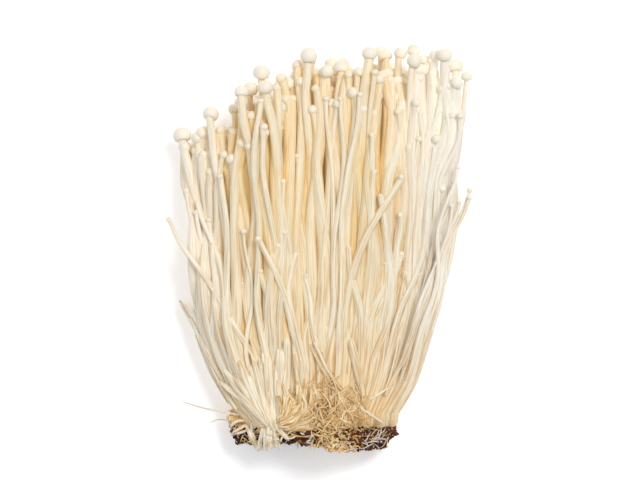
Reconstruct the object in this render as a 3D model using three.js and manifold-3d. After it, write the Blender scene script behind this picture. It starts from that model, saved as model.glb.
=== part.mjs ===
// A lying bunch of enoki mushrooms. The stems fan out of a fibrous root mat, which still holds a
// crust of the crumbly substrate that they grew on, and each stem ends in a small round cap.
//
// Millimetres. +Y runs from the cut root to the caps, +X across the fan, and +Z up from the table.
// The lower third of a bunch is grown together, so it is built as feet: one foot for each tuft,
// side by side round a thick heart tuft. Above the feet every mushroom is free, and is laid by
// rule, one after another, on the table, on the heart and on the mushrooms that lie there already.
import * as THREE from "three";
import { mergeVertices } from "three/addons/utils/BufferGeometryUtils.js";
import Module from "manifold-3d";

const wasm = await Module();
wasm.setup();

// ---- Driving dimensions ----
const ROOT_Y = -75; // the cut end of the substrate
const CRUST_Y = -68; // substrate ends, root mat begins
const FOOT_Y = -60; // root mat ends, feet begin
const FREE_Y = -40; // feet end, free stems begin
const CREST_Y = 72.5; // cap centres of the tallest mushrooms
const FOOT_HALF_WIDTH = 33; // of the fan at the feet
const FAN_HALF_WIDTH = 53; // of the fan at the caps
const FAN_REACH = 25; // length over which most of the widening happens
const UNDER_HEIGHT = 8.5; // thickness of the layer of mushrooms under the heart
const HEART_HEIGHT = 11; // thickness of the heart above that layer, in the middle
const HEART_SHARE = 0.9; // the heart's width as a share of the fan's
const GAP = 0.45; // air between two free stems
const SEAM = 0.35; // air between two neighbouring pieces of the root and feet
const REST_GAP = 0.1; // air under the lowest mushrooms, so that the bunch rests on its sole
const STEP = 2.5; // distance between the stations at which a stem's place is worked out
const STEEPEST_RISE = 0.36; // of a free stem, height over length
const STEEPEST_FALL = 0.2;
const ROW_PITCH = 2.6; // from one row of stems to the next in a foot
const CHORD_ERROR = 0.45; // how far a faceted stem may leave its curve

// ---- The mushrooms that lie uppermost, as on the real bunch, the lowest first ----
// cap centre x and y, cap diameter, stem diameter, place of the foot as a share of the fan, bow
const UPPERMOST = [
  // far left
  [-52, 43, 6.6, 3.0, -0.66, -1.6],
  [-49.5, 22, 2.4, 1.8, -0.8, -0.8],
  [-43, 44, 5.2, 2.4, -0.56, -1.2],
  [-46, 35.5, 4.1, 2.4, -0.62, -1],
  [-42, 51, 6.2, 3.1, -0.5, 0],
  [-53, -19.6, 1.6, 1.4, -0.8, -0.5],
  [-46, -21, 1.5, 1.4, -0.72, -0.5],
  [-46, 14, 2.6, 1.8, -0.72, -0.4],
  [-32, 52.5, 4.2, 2.0, -0.42, -0.8],
  // middle left
  [-26, 60, 5.4, 2.5, -0.44, 0],
  [-22, 66, 6.5, 3.0, -0.3, 1.2],
  [-28.5, 55, 5.0, 2.6, -0.7, -0.4],
  [-29.5, 58.5, 5.2, 2.6, -0.36, 2],
  [-23, 55, 4.8, 2.2, -0.38, 1.2],
  [-20.5, 60.5, 6.0, 3.2, -0.27, 2.4],
  [-10.7, 58, 4.0, 2.0, -0.2, 0.4],
  [-10.7, 62, 4.6, 2.2, -0.12, 1.2],
  [-14.5, 64, 3.8, 3.0, -0.16, 1.8],
  [-21, 45.5, 3.0, 1.9, -0.33, 0.6],
  [-13.5, 25.5, 2.2, 1.7, -0.22, 0],
  // middle
  [3.7, 41, 4.3, 2.6, 0.08, 0],
  [-8, 69, 3.8, 2.8, -0.14, 0],
  [-4.5, 72, 6.4, 3.0, -0.05, 0],
  [-1, 60, 3.2, 3.0, 0.0, -0.2],
  [2.2, 66.5, 5.2, 2.6, 0.05, -0.4],
  [7.8, 67.5, 5.6, 2.3, 0.11, -0.8],
  [2.2, 56, 2.4, 1.6, 0.07, 0],
  [10.7, 65, 3.0, 2.8, 0.2, -1.2],
  [-8.5, 35, 2.0, 1.6, -0.1, 0.4],
  // middle right
  [23, 74, 4.8, 2.5, 0.34, -1.2],
  [14, 66, 3.8, 2.6, 0.22, -1.2],
  [18.5, 72.5, 5.7, 3.3, 0.27, -1.6],
  [20, 65.5, 2.8, 1.7, 0.36, -0.8],
  [25, 72.5, 5.6, 3.0, 0.4, -1.4],
  [29.6, 73, 5.0, 2.8, 0.46, -1.6],
  [34.4, 73.8, 5.0, 2.4, 0.58, -1.2],
  [39, 70.5, 4.0, 2.2, 0.64, -1.2],
  [34.4, 70, 5.6, 3.0, 0.52, -1.8],
  [19, 42.5, 2.2, 1.6, 0.3, 0],
  [24, 47, 2.0, 1.6, 0.42, -0.4],
  [29, 51, 2.8, 1.9, 0.5, -0.8],
  [34.8, 54.5, 3.2, 2.1, 0.56, -1.2],
  [20, 29, 2.2, 1.7, 0.36, 0],
  [33, 38, 3.3, 2.6, 0.64, 0],
  // far right
  [42.5, 72, 4.8, 2.8, 0.72, -1.2],
  [51, 68.5, 6.2, 2.8, 0.84, -1.6],
  [46.6, 72, 6.0, 3.3, 0.76, -2.4],
  [54.5, 64.5, 4.2, 2.0, 0.9, -2],
  [50, 62, 4.9, 2.6, 0.8, -2],
  [49, 49.5, 2.8, 1.9, 0.88, -1.6],
  [51.8, 49.5, 2.8, 1.9, 0.92, -1.2],
  [43.3, 41, 3.6, 2.6, 0.74, -0.8],
  [36.3, 41, 2.8, 1.7, 0.62, 1.2],
  [30.3, 26.5, 2.2, 1.7, 0.6, 0.8],
  [44.8, 23, 3.0, 1.8, 0.84, -0.4],
  // laid across the others
  [-56.4, 11.7, 1.9, 1.4, -0.6, -1],
  [31, 27, 2.4, 2.4, 0.28, -7],
  [-23, 4.5, 2.7, 1.9, -0.12, 0.8],
  [30, -4, 1.9, 1.5, 0.33, 0],
];
const UPPER_FILL = 14; // rows of mushrooms placed by rule: below those, under the heart, in it
const UNDER_FILL = 23;
const HEART_ROWS = [10, 9, 6];
const UPPER_FEET = 16;
const UNDER_FEET = 8;

// ---- Colours ----
const finish = (colour, roughness) =>
  new THREE.MeshStandardMaterial({ color: colour, roughness, metalness: 0 });
const FLESH = finish("#efe2c4", 0.45);
const MAT = finish("#c9a46a", 0.8);
const SUBSTRATE = finish("#5b3b26", 0.9);

// ---- A seeded draw, the same on every run ----
let state = 20417;
function draw(low = 0, high = 1) {
  state = (state * 48271) % 2147483647;
  return low + ((high - low) * state) / 2147483647;
}

// ---- The form of the whole bunch ----
const clamp = (value, low, high) => Math.min(high, Math.max(low, value));
const between = (low, high, share) => low + (high - low) * share;
const eased = (value) => clamp(value, 0, 1) ** 2 * (3 - 2 * clamp(value, 0, 1));

// Half the width of the fan: it opens fast above the feet, then runs on almost parallel.
function halfWidth(y) {
  const opened = 1 - Math.exp(-Math.max(0, y - FOOT_Y) / FAN_REACH);
  return between(FOOT_HALF_WIDTH, FAN_HALF_WIDTH, opened);
}

// Height of the tallest cap centres: a slope on the left, level in the middle, a drop at the right.
function crest(x) {
  return CREST_Y - 0.6 * Math.max(0, -4 - x) - Math.max(0, x - 47);
}

// Upper surface of the heart, an arch across the fan that thins towards the caps.
function heartTop(share, y) {
  const arch = Math.max(0, 1 - (share / HEART_SHARE) ** 2) ** 0.8;
  const thinning = 1 - 0.25 * clamp((y - FREE_Y) / (CREST_Y - FREE_Y), 0, 1);
  return UNDER_HEIGHT + SEAM + HEART_HEIGHT * arch * thinning;
}

// Where the heart's grown-together stems part, well below the caps.
const heartEnd = (share) => crest(share * FAN_HALF_WIDTH) - 36;

// ---- One mushroom: its path and thickness at stations along Y ----
const CAP_HEIGHT = 0.78; // of a cap, as a share of its diameter

function mushroom([capX, capY, capSize, stemSize, footShare, bow], startY = FOOT_Y) {
  const topY = capY + (CAP_HEIGHT * capSize) / 2;
  const tipShare = capX / halfWidth(capY);
  const wave = draw(0.1, 0.4);
  const phase = draw(0, 2 * Math.PI);
  const stations = [];
  for (let y = startY; y < topY + STEP; y += STEP) {
    const freed = clamp((y - FREE_Y) / (topY - FREE_Y), 0, 1.05);
    const share = between(footShare, tipShare, freed);
    const sway = Math.min(1, freed * 3) * wave * Math.sin(2.6 * Math.PI * freed + phase);
    const x = share * halfWidth(y) + bow * Math.sin(Math.PI * freed) + sway;
    const girth = 0.78 + 0.22 * clamp((y - FOOT_Y) / 45, 0, 1);
    const inCap = y > topY - CAP_HEIGHT * capSize - STEP / 2;
    stations.push({ x, y, z: 0, radius: (inCap ? capSize : stemSize * girth) / 2 });
  }
  stations.forEach((station, i) => {
    const next = stations[Math.min(i + 1, stations.length - 1)];
    const last = stations[Math.max(i - 1, 0)];
    const lean = (next.x - last.x) / (next.y - last.y);
    station.reach = station.radius * Math.sqrt(1 + lean * lean);
  });
  return { stations, topY, capSize, stemSize, footShare };
}

// ---- Laying ----
const laid = [];
const stationNumber = (y) => Math.round((y - FOOT_Y) / STEP);

// The lowest height at which a stem clears the table, the heart and all that lies there.
function heightNeeded(station, onHeart) {
  let height = station.reach + REST_GAP;
  const share = station.x / halfWidth(station.y);
  if (onHeart && station.y < heartEnd(share))
    height = Math.max(height, heartTop(share, station.y) + SEAM + station.reach);
  const number = stationNumber(station.y);
  for (const other of laid) {
    const crossed = other.stations[number - other.firstNumber];
    if (!crossed) continue;
    const reach = station.reach + crossed.reach + GAP;
    const apart = station.x - crossed.x;
    if (Math.abs(apart) < reach)
      height = Math.max(height, crossed.z + Math.sqrt(reach * reach - apart * apart));
  }
  return height;
}

// Lays a stem over whatever is beneath it as a stiff rod that only bends down over its supports,
// and returns the height at which it leaves its foot for that.
function lay(piece, footHeight, onHeart) {
  const { stations } = piece;
  piece.firstNumber = stationNumber(stations[0].y);
  const free = stations.findIndex((s) => s.y >= FREE_Y);
  const root = stations[free];
  let start = footHeight(root);
  stations.forEach((s, i) => {
    const floor = i > free ? stations[i - 1].z - STEEPEST_FALL * STEP : 0;
    s.z = i > free ? Math.max(heightNeeded(s, onHeart), floor) : footHeight(s);
    if (i > free) start = Math.max(start, s.z - STEEPEST_RISE * (s.y - root.y));
  });
  const lift = start - root.z;
  for (const s of stations)
    if (s.y <= root.y) s.z += (lift * (s.y - FOOT_Y)) / (root.y - FOOT_Y);
  const ridge = [];
  stations.slice(free).forEach((s) => {
    while (ridge.length > 1 && slope(ridge.at(-2), ridge.at(-1)) <= slope(ridge.at(-1), s))
      ridge.pop();
    ridge.push(s);
  });
  for (let i = 0; i + 1 < ridge.length; i++) {
    const [from, to] = [ridge[i], ridge[i + 1]];
    for (const s of stations)
      if (s.y > from.y && s.y < to.y) s.z = from.z + slope(from, to) * (s.y - from.y);
  }
  return start;
}

const slope = (from, to) => (to.z - from.z) / (to.y - from.y);

// ---- Feet: cells side by side, each with slots in two columns and some rows ----
function makeFeet(name, count, rows, baseHeight) {
  const feet = [];
  for (let i = 0; i < count; i++) {
    const low = between(-0.97, 0.97, i / count);
    const high = between(-0.97, 0.97, (i + 1) / count);
    const end = FREE_Y - draw(1, 7);
    const number = String(i + 1).padStart(2, "0");
    const height = ROW_PITCH * rows;
    feet.push({ name: `${name}_${number}`, low, high, height, baseHeight, end, lift: 0 });
  }
  const slots = [];
  for (let row = 0; row < rows; row++)
    for (const foot of feet)
      for (const column of [0.25, 0.75])
        slots.push({ foot, row, share: between(foot.low, foot.high, column), taken: false });
  for (const foot of feet) foot.members = [];
  return { feet, slots };
}

// The free slot nearest to a wanted place, in the lowest row that has one close by.
function takeSlot(slots, wanted) {
  const cost = (slot) => Math.abs(slot.share - wanted) + 0.07 * slot.row;
  const free = slots.filter((slot) => !slot.taken);
  const best = free.reduce((a, b) => (cost(b) < cost(a) ? b : a));
  best.taken = true;
  return best;
}

const rowHeight = (slot, station) =>
  slot.foot.baseHeight(slot.share, station.y) + ROW_PITCH * (slot.row + 0.55);

function plant(slots, data, onHeart, ceiling = Infinity) {
  const slot = takeSlot(slots, data[4]);
  const piece = mushroom([...data.slice(0, 4), slot.share, data[5]]);
  const start = lay(piece, (station) => rowHeight(slot, station), onHeart);
  if (piece.stations.some((s) => s.z + s.reach > ceiling)) {
    slot.taken = false;
    return false;
  }
  const { foot } = slot;
  const top = start + piece.stemSize / 2 - foot.baseHeight(slot.share, FREE_Y);
  foot.lift = Math.max(foot.lift, top - foot.height);
  laid.push(piece);
  foot.members.push(piece);
  return true;
}

const under = makeFeet("under_tuft", UNDER_FEET, 2, () => 0.2);
const upper = makeFeet("upper_tuft", UPPER_FEET, 3, (share, y) => heartTop(share, y) + SEAM);

function plantUnder() {
  for (let i = 0; i < UNDER_FILL; i++) {
    const share = between(-0.95, 0.95, (i + draw(0.3, 0.7)) / UNDER_FILL);
    const x = share * FAN_HALF_WIDTH;
    for (let turn = 0; turn < 6; turn++) {
      const capY = crest(x) - draw(2, 26);
      const data = [x, capY, draw(4.4, 6.2), draw(2.3, 3), share * 0.94, draw(-1, 1)];
      if (plant(under.slots, data, false, UNDER_HEIGHT)) break;
    }
  }
}

// The heart's own mushrooms stand out of its end in rows.
const heartMembers = [];
function plantHeart() {
  HEART_ROWS.forEach((count, row) => {
    for (let i = 0; i < count; i++) {
      const spread = 0.84 - 0.16 * row;
      const share = between(-spread, spread, (i + draw(0.35, 0.65)) / count);
      const x = share * FAN_HALF_WIDTH;
      const data = [x, crest(x) - draw(1, 19), draw(4.2, 6.2), draw(2.4, 3.2), share, 0];
      const startY = FOOT_Y + STEP * Math.floor((heartEnd(share) - 16 - FOOT_Y) / STEP);
      const piece = mushroom(data, startY);
      piece.firstNumber = stationNumber(startY);
      const height = between(UNDER_HEIGHT, heartTop(share, startY), 0.24 + 0.26 * row);
      for (const station of piece.stations) station.z = Math.max(height, UNDER_HEIGHT + 3.4);
      laid.push(piece);
      heartMembers.push(piece);
    }
  });
}

function plantUpperFill() {
  for (let i = 0; i < UPPER_FILL; i++) {
    const share = between(-0.95, 0.95, (i + draw(0.25, 0.75)) / UPPER_FILL);
    const x = share * FAN_HALF_WIDTH;
    const tall = draw() < 0.6;
    const capY = crest(x) - (tall ? draw(4, 14) : draw(24, 66));
    const capSize = tall ? draw(4.2, 5.8) : draw(2.2, 3.2);
    const stemSize = tall ? draw(2.3, 3) : draw(1.7, 2.2);
    plant(upper.slots, [x, capY, capSize, stemSize, share * 0.96, draw(-2, 2)], true);
  }
}

plantUnder();
plantHeart();
plantUpperFill();
for (const data of UPPERMOST) plant(upper.slots, data, true);

// ---- Solids ----
const UP = new THREE.Vector3(0, 0, 1);

// A closed cylinder whose skin is moved point by point: place(angle, along, out) gives the new
// point for an angle round it, a share of its height, and 0 on the axis or 1 on the skin.
function shaped(sides, levels, place) {
  const geometry = new THREE.CylinderGeometry(1, 1, 1, sides, levels);
  const position = geometry.getAttribute("position");
  for (let i = 0; i < position.count; i++) {
    const [x, y, z] = [position.getX(i), position.getY(i), position.getZ(i)];
    const point = place(Math.atan2(z, x), y + 0.5, Math.hypot(x, z));
    position.setXYZ(i, point.x, point.y, point.z);
  }
  return geometry;
}

function solid(geometry) {
  const bare = new THREE.BufferGeometry();
  bare.setAttribute("position", geometry.getAttribute("position"));
  bare.setIndex(geometry.getIndex());
  const merged = mergeVertices(bare, 1e-4);
  const made = new wasm.Manifold(
    new wasm.Mesh({
      numProp: 3,
      vertProperties: merged.getAttribute("position").array,
      triVerts: new Uint32Array(merged.getIndex().array),
    }),
  );
  return made;
}

function fused(geometries) {
  const whole = geometries.map(solid).reduce((a, b) => a.add(b));
  const mesh = whole.getMesh();
  const geometry = new THREE.BufferGeometry();
  geometry.setAttribute("position", new THREE.BufferAttribute(mesh.vertProperties, 3));
  geometry.setIndex(new THREE.BufferAttribute(mesh.triVerts, 1));
  geometry.computeVertexNormals();
  return geometry;
}

// The fewest points of a path that keep it within CHORD_ERROR of every point left out.
function simplified(points) {
  const [first, last] = [points[0], points[points.length - 1]];
  const line = new THREE.Line3(first, last);
  let worst = 0;
  let split = 0;
  points.forEach((point, i) => {
    const off = line.closestPointToPoint(point, true, new THREE.Vector3()).distanceTo(point);
    if (off > worst) [worst, split] = [off, i];
  });
  if (worst <= CHORD_ERROR) return [first, last];
  const head = simplified(points.slice(0, split + 1));
  return [...head.slice(0, -1), ...simplified(points.slice(split))];
}

function pointAt(piece, y) {
  const { stations } = piece;
  const i = clamp(Math.floor((y - stations[0].y) / STEP), 0, stations.length - 2);
  const share = (y - stations[i].y) / STEP;
  const from = new THREE.Vector3(stations[i].x, stations[i].y, stations[i].z);
  const to = new THREE.Vector3(stations[i + 1].x, stations[i + 1].y, stations[i + 1].z);
  return from.lerp(to, share);
}

// Rings of a mushroom from its root to the shoulder of its cap, which is a dome with a tucked rim.
const LARGE_CAP = [[0.04, 0.88], [0.4, 1], [0.82, 0.66]]; // up and out, as shares of the cap
const SMALL_CAP = [[0.1, 0.95], [0.66, 0.85]];
const LARGE = 3.5; // cap diameter from which a cap is drawn in full

function mushroomRings(piece, startY) {
  const { stations, topY, capSize, stemSize } = piece;
  const height = CAP_HEIGHT * capSize;
  const capBase = pointAt(piece, topY - height);
  const axis = pointAt(piece, topY).sub(capBase).normalize();
  const inCap = (up) => capBase.clone().addScaledVector(axis, up * height);
  const kept = stations.filter((s) => s.y >= startY && s.y < capBase.y - 1);
  const joints = simplified([...kept.map((s) => new THREE.Vector3(s.x, s.y, s.z)), inCap(0.16)]);
  const rings = joints.map((centre, i) => {
    const ahead = joints[Math.min(i + 1, joints.length - 1)];
    const behind = joints[Math.max(i - 1, 0)];
    const girth = 0.78 + 0.22 * clamp((centre.y - FOOT_Y) / 45, 0, 1);
    return { centre, radius: (stemSize * girth) / 2, axis: ahead.clone().sub(behind).normalize() };
  });
  for (const [up, out] of capSize > LARGE ? LARGE_CAP : SMALL_CAP)
    rings.push({ centre: inCap(up), radius: (out * capSize) / 2, axis });
  return { rings, pole: inCap(1) };
}

function mushroomSolid(piece, startY) {
  const { rings, pole } = mushroomRings(piece, startY);
  const bands = rings.length - 1;
  return shaped(piece.capSize > LARGE ? 6 : 5, bands, (angle, along, out) => {
    const i = Math.round(along * bands);
    if (i === bands && out === 0) return pole;
    const { centre, radius, axis } = rings[i];
    const side = axis.clone().cross(UP).normalize();
    const rise = side.clone().cross(axis);
    return centre
      .clone()
      .addScaledVector(side, out * radius * Math.cos(angle))
      .addScaledVector(rise, out * radius * Math.sin(angle));
  });
}

// A foot fills its cell between its neighbours, fluted like stems that have grown together, and
// closes where its stems part.
function footSolid(foot) {
  const middle = (foot.low + foot.high) / 2;
  const squared = (value) => Math.sign(value) * Math.abs(value) ** 0.5;
  return shaped(10, 3, (angle, along, out) => {
    const y = between(FOOT_Y + SEAM, foot.end, along);
    const width = halfWidth(y);
    const flute = Math.round((angle / Math.PI) * 5) % 2 ? 0.88 : 1;
    const size = out * flute * (along === 1 ? 0.7 : 1);
    const half = ((foot.high - foot.low) / 2) * width - SEAM / 2;
    const x = middle * width + size * squared(Math.cos(angle)) * half;
    const base = foot.baseHeight(x / width, y);
    const height = foot.height + foot.lift * clamp(along, 0, 1);
    return new THREE.Vector3(x, y, base + (height * (size * squared(Math.sin(angle)) + 1)) / 2);
  });
}

// The heart: a fluted body that thins towards the caps, where its own mushrooms stand out of it.
function heartSolid() {
  const flutes = 28;
  return shaped(2 * flutes, 5, (angle, along, out) => {
    const ridge = Math.round((angle / Math.PI) * flutes);
    const skin = out * (ridge % 2 ? 0.95 : 1);
    const share = (HEART_SHARE - 0.03) * Math.cos(angle) * skin;
    const ragged = 5 * Math.sin(2.4 * ridge) * out;
    const y = between(FOOT_Y + SEAM, heartEnd(share) + ragged, along);
    const base = UNDER_HEIGHT + SEAM;
    const top = heartTop(share, y) - SEAM;
    const up = (1 + Math.sin(angle) * skin) / 2;
    const closing = along === 1 ? 0.6 : 1;
    return new THREE.Vector3(share * halfWidth(y), y, base + (top - base) * up * closing);
  });
}

// Root mat and substrate: slabs across the end of the bunch, with a lumpy skin, a flat sole, a
// wavy border between them and a ragged end. They lie lower than the stems that run onto them,
// except in their middle, where the substrate has come up.
const ROOT_MIDDLE = -2.5;
const ROOT_HALF_WIDTH = 30;
const ROOT_MIDDLE_HEIGHT = 12;
const ROOT_HALF_HEIGHT = 14; // below its middle height, where the table flattens it
const bump = (x, middle, width) => Math.exp(-(((x - middle) / width) ** 2));
const fringe = (x) => 3 * (1 - bump(Math.min(x, 9), 9, 9)) + 0.09 * Math.max(0, x - 9);
const rootTop = (x) => heartTop(x / halfWidth(FOOT_Y), FOOT_Y) + 5.5 + 4 * bump(x, 2, 9);
const crustBorder = (angle) => CRUST_Y + 1.2 * Math.sin(2 * angle + 0.6) + 0.8 * Math.sin(5 * angle);
const ended = (y) => () => y;

function rootSlab(from, to, waist, bumps, ragged) {
  const lump = (angle, y) => (Math.sin(5 * angle + 0.9 * y) + Math.sin(9 * angle - 1.7 * y + 2)) / 2;
  return shaped(28, 4, (angle, along, out) => {
    const y = between(from(angle), to(angle), along);
    const size = out * (1 + bumps * lump(angle, y)) * (1 - waist * (1 - along));
    const across = Math.sign(Math.cos(angle)) * Math.abs(Math.cos(angle)) ** 0.75;
    const up = Math.sign(Math.sin(angle)) * Math.abs(Math.sin(angle)) ** 0.85;
    const x = ROOT_MIDDLE + across * ROOT_HALF_WIDTH * size;
    const reach = up > 0 ? rootTop(x) - ROOT_MIDDLE_HEIGHT : ROOT_HALF_HEIGHT;
    const z = Math.max(0, ROOT_MIDDLE_HEIGHT + up * reach * size);
    return new THREE.Vector3(x, y + ragged * (1 - along) * fringe(x), z);
  });
}

// Draws the stems in where they enter the root.
function gathered(x, y) {
  if (x > 9) {
    const middle = 0.115 * eased((51 - y) / 24) + 0.08 * eased((-5 - y) / 25);
    return x - (x - 9) * (middle + 0.07 * eased((-46 - y) / 22));
  }
  const left = 0.06 * eased((34 - y) / 24) + 0.07 * eased((-28 - y) / 24);
  const drawn = x + Math.max(0, -9 - x) * left;
  const pull = 0.45 * clamp((-8 - drawn) / 8, 0, 1);
  return drawn + pull * (-18 - drawn) * eased((-56 - y) / 10);
}

function drawnIn(geometry) {
  const position = geometry.getAttribute("position");
  for (let i = 0; i < position.count; i++)
    position.setX(i, gathered(position.getX(i), position.getY(i)));
  return geometry;
}

// ---- Assembly ----
const bunch = new THREE.Group();
function add(name, geometries, material) {
  const mesh = new THREE.Mesh(fused(geometries), material);
  mesh.name = name;
  bunch.add(mesh);
}

const crust = rootSlab(ended(ROOT_Y), (angle) => crustBorder(angle) - SEAM, 0.14, 0.04, 1);
const mat = rootSlab(crustBorder, ended(FOOT_Y), 0, 0.04, 0);
add("substrate_crust", [crust], SUBSTRATE);
add("root_mat", [mat], MAT);
const heartMushrooms = heartMembers.map((m) => mushroomSolid(m, FOOT_Y));
add("heart_tuft", [heartSolid(), ...heartMushrooms].map(drawnIn), FLESH);
for (const foot of [...under.feet, ...upper.feet]) {
  const members = foot.members.map((m) => mushroomSolid(m, FREE_Y - 10));
  add(foot.name, [footSolid(foot), ...members].map(drawnIn), FLESH);
}

// The origin is under the middle of the bunch, on the table.
const box = new THREE.Box3().setFromObject(bunch);
const middle = box.getCenter(new THREE.Vector3());
bunch.position.set(-middle.x, -middle.y, -box.min.z);

export default bunch;
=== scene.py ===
"""Looks of a bunch of enoki mushrooms that lies on its side.

The laying rule of the part's source places its mushrooms here too, and each is swept finely. Thin
pins, stems between them, root fibres, threads of mycelium and crumbs of substrate are added.
Lengths are in millimetres in the rules and in metres in the meshes.
"""

import math

import bpy
import numpy as np
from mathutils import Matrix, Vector, noise
from mathutils.bvhtree import BVHTree


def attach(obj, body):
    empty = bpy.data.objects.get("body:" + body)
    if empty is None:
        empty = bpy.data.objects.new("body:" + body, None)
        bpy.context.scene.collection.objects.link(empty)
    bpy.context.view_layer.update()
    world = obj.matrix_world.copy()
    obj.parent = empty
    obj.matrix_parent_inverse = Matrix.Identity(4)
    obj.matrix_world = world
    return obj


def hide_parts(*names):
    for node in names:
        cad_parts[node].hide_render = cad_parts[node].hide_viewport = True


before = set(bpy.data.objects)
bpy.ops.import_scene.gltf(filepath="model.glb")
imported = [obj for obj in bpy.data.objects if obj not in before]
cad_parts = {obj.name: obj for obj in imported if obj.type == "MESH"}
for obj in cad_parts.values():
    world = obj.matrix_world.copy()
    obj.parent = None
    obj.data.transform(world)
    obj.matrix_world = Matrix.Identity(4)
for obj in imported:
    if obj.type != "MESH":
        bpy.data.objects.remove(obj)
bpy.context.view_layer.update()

# ---- Driving dimensions, as in the part's source ----
MM = 0.001
MIDDLE = (-0.89697, -0.51149, 0.0)  # from the rule's origin to the middle of the bunch
ROOT_Y = -75
CRUST_Y = -68
FOOT_Y = -60
FREE_Y = -40
CREST_Y = 72.5
FOOT_HALF_WIDTH = 33
FAN_HALF_WIDTH = 53
FAN_REACH = 25
UNDER_HEIGHT = 8.5
HEART_HEIGHT = 11
HEART_SHARE = 0.9
GAP = 0.45
SEAM = 0.35
REST_GAP = 0.1
STEP = 2.5
STEEPEST_RISE = 0.36
STEEPEST_FALL = 0.2
ROW_PITCH = 2.6
CAP_HEIGHT = 0.78
# cap centre x and y, cap diameter, stem diameter, place of the foot as a share of the fan, bow
UPPERMOST = [
    # far left
    [-52, 43, 6.6, 3.0, -0.66, -1.6],
    [-49.5, 22, 2.4, 1.8, -0.8, -0.8],
    [-43, 44, 5.2, 2.4, -0.56, -1.2],
    [-46, 35.5, 4.1, 2.4, -0.62, -1],
    [-42, 51, 6.2, 3.1, -0.5, 0],
    [-53, -19.6, 1.6, 1.4, -0.8, -0.5],
    [-46, -21, 1.5, 1.4, -0.72, -0.5],
    [-46, 14, 2.6, 1.8, -0.72, -0.4],
    [-32, 52.5, 4.2, 2.0, -0.42, -0.8],
    # middle left
    [-26, 60, 5.4, 2.5, -0.44, 0],
    [-22, 66, 6.5, 3.0, -0.3, 1.2],
    [-28.5, 55, 5.0, 2.6, -0.7, -0.4],
    [-29.5, 58.5, 5.2, 2.6, -0.36, 2],
    [-23, 55, 4.8, 2.2, -0.38, 1.2],
    [-20.5, 60.5, 6.0, 3.2, -0.27, 2.4],
    [-10.7, 58, 4.0, 2.0, -0.2, 0.4],
    [-10.7, 62, 4.6, 2.2, -0.12, 1.2],
    [-14.5, 64, 3.8, 3.0, -0.16, 1.8],
    [-21, 45.5, 3.0, 1.9, -0.33, 0.6],
    [-13.5, 25.5, 2.2, 1.7, -0.22, 0],
    # middle
    [3.7, 41, 4.3, 2.6, 0.08, 0],
    [-8, 69, 3.8, 2.8, -0.14, 0],
    [-4.5, 72, 6.4, 3.0, -0.05, 0],
    [-1, 60, 3.2, 3.0, 0.0, -0.2],
    [2.2, 66.5, 5.2, 2.6, 0.05, -0.4],
    [7.8, 67.5, 5.6, 2.3, 0.11, -0.8],
    [2.2, 56, 2.4, 1.6, 0.07, 0],
    [10.7, 65, 3.0, 2.8, 0.2, -1.2],
    [-8.5, 35, 2.0, 1.6, -0.1, 0.4],
    # middle right
    [23, 74, 4.8, 2.5, 0.34, -1.2],
    [14, 66, 3.8, 2.6, 0.22, -1.2],
    [18.5, 72.5, 5.7, 3.3, 0.27, -1.6],
    [20, 65.5, 2.8, 1.7, 0.36, -0.8],
    [25, 72.5, 5.6, 3.0, 0.4, -1.4],
    [29.6, 73, 5.0, 2.8, 0.46, -1.6],
    [34.4, 73.8, 5.0, 2.4, 0.58, -1.2],
    [39, 70.5, 4.0, 2.2, 0.64, -1.2],
    [34.4, 70, 5.6, 3.0, 0.52, -1.8],
    [19, 42.5, 2.2, 1.6, 0.3, 0],
    [24, 47, 2.0, 1.6, 0.42, -0.4],
    [29, 51, 2.8, 1.9, 0.5, -0.8],
    [34.8, 54.5, 3.2, 2.1, 0.56, -1.2],
    [20, 29, 2.2, 1.7, 0.36, 0],
    [33, 38, 3.3, 2.6, 0.64, 0],
    # far right
    [42.5, 72, 4.8, 2.8, 0.72, -1.2],
    [51, 68.5, 6.2, 2.8, 0.84, -1.6],
    [46.6, 72, 6.0, 3.3, 0.76, -2.4],
    [54.5, 64.5, 4.2, 2.0, 0.9, -2],
    [50, 62, 4.9, 2.6, 0.8, -2],
    [49, 49.5, 2.8, 1.9, 0.88, -1.6],
    [51.8, 49.5, 2.8, 1.9, 0.92, -1.2],
    [43.3, 41, 3.6, 2.6, 0.74, -0.8],
    [36.3, 41, 2.8, 1.7, 0.62, 1.2],
    [30.3, 26.5, 2.2, 1.7, 0.6, 0.8],
    [44.8, 23, 3.0, 1.8, 0.84, -0.4],
    # laid across the others
    [-56.4, 11.7, 1.9, 1.4, -0.6, -1],
    [31, 27, 2.4, 2.4, 0.28, -7],
    [-23, 4.5, 2.7, 1.9, -0.12, 0.8],
    [30, -4, 1.9, 1.5, 0.33, 0],
]
# thin ones at the right edge, given in the same way
EDGE_PINS = [
    [55.4, 22.2, 2.2, 1.3, 0.86, -1.5],
    [55.2, 19.4, 2.0, 1.2, 0.9, -1],
    [51.8, 18, 2.2, 1.3, 0.88, -0.5],
    [49.5, 24.5, 2.2, 1.4, 0.84, -0.5],
    [48.6, 16.4, 1.8, 1.2, 0.86, 0],
    [50.5, 30.5, 2.0, 1.3, 0.92, 0],
]
UPPER_FILL = 14
UNDER_FILL = 23
HEART_ROWS = [10, 9, 6]
UPPER_FEET = 16
UNDER_FEET = 8
ROOT_MIDDLE = -2.5
ROOT_HALF_WIDTH = 30
ROOT_MIDDLE_HEIGHT = 12
ROOT_HALF_HEIGHT = 14

# where each side starts to be drawn in, over what length, and by what share of its distance
RIGHT_TAPER = [(51, 24, 0.115), (-5, 25, 0.08), (-46, 22, 0.07)]
LEFT_TAPER = [(34, 24, 0.06), (-28, 24, 0.07)]
STRAIGHT_HALF_WIDTH = 9  # what lies nearer to the middle isn't drawn in
LEFT_FOOT_X = -18
ROOT_STATIONS = (-67.0, -65.5, -64.0, -62.5, -61.2)  # where a stem bends inside the root

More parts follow.
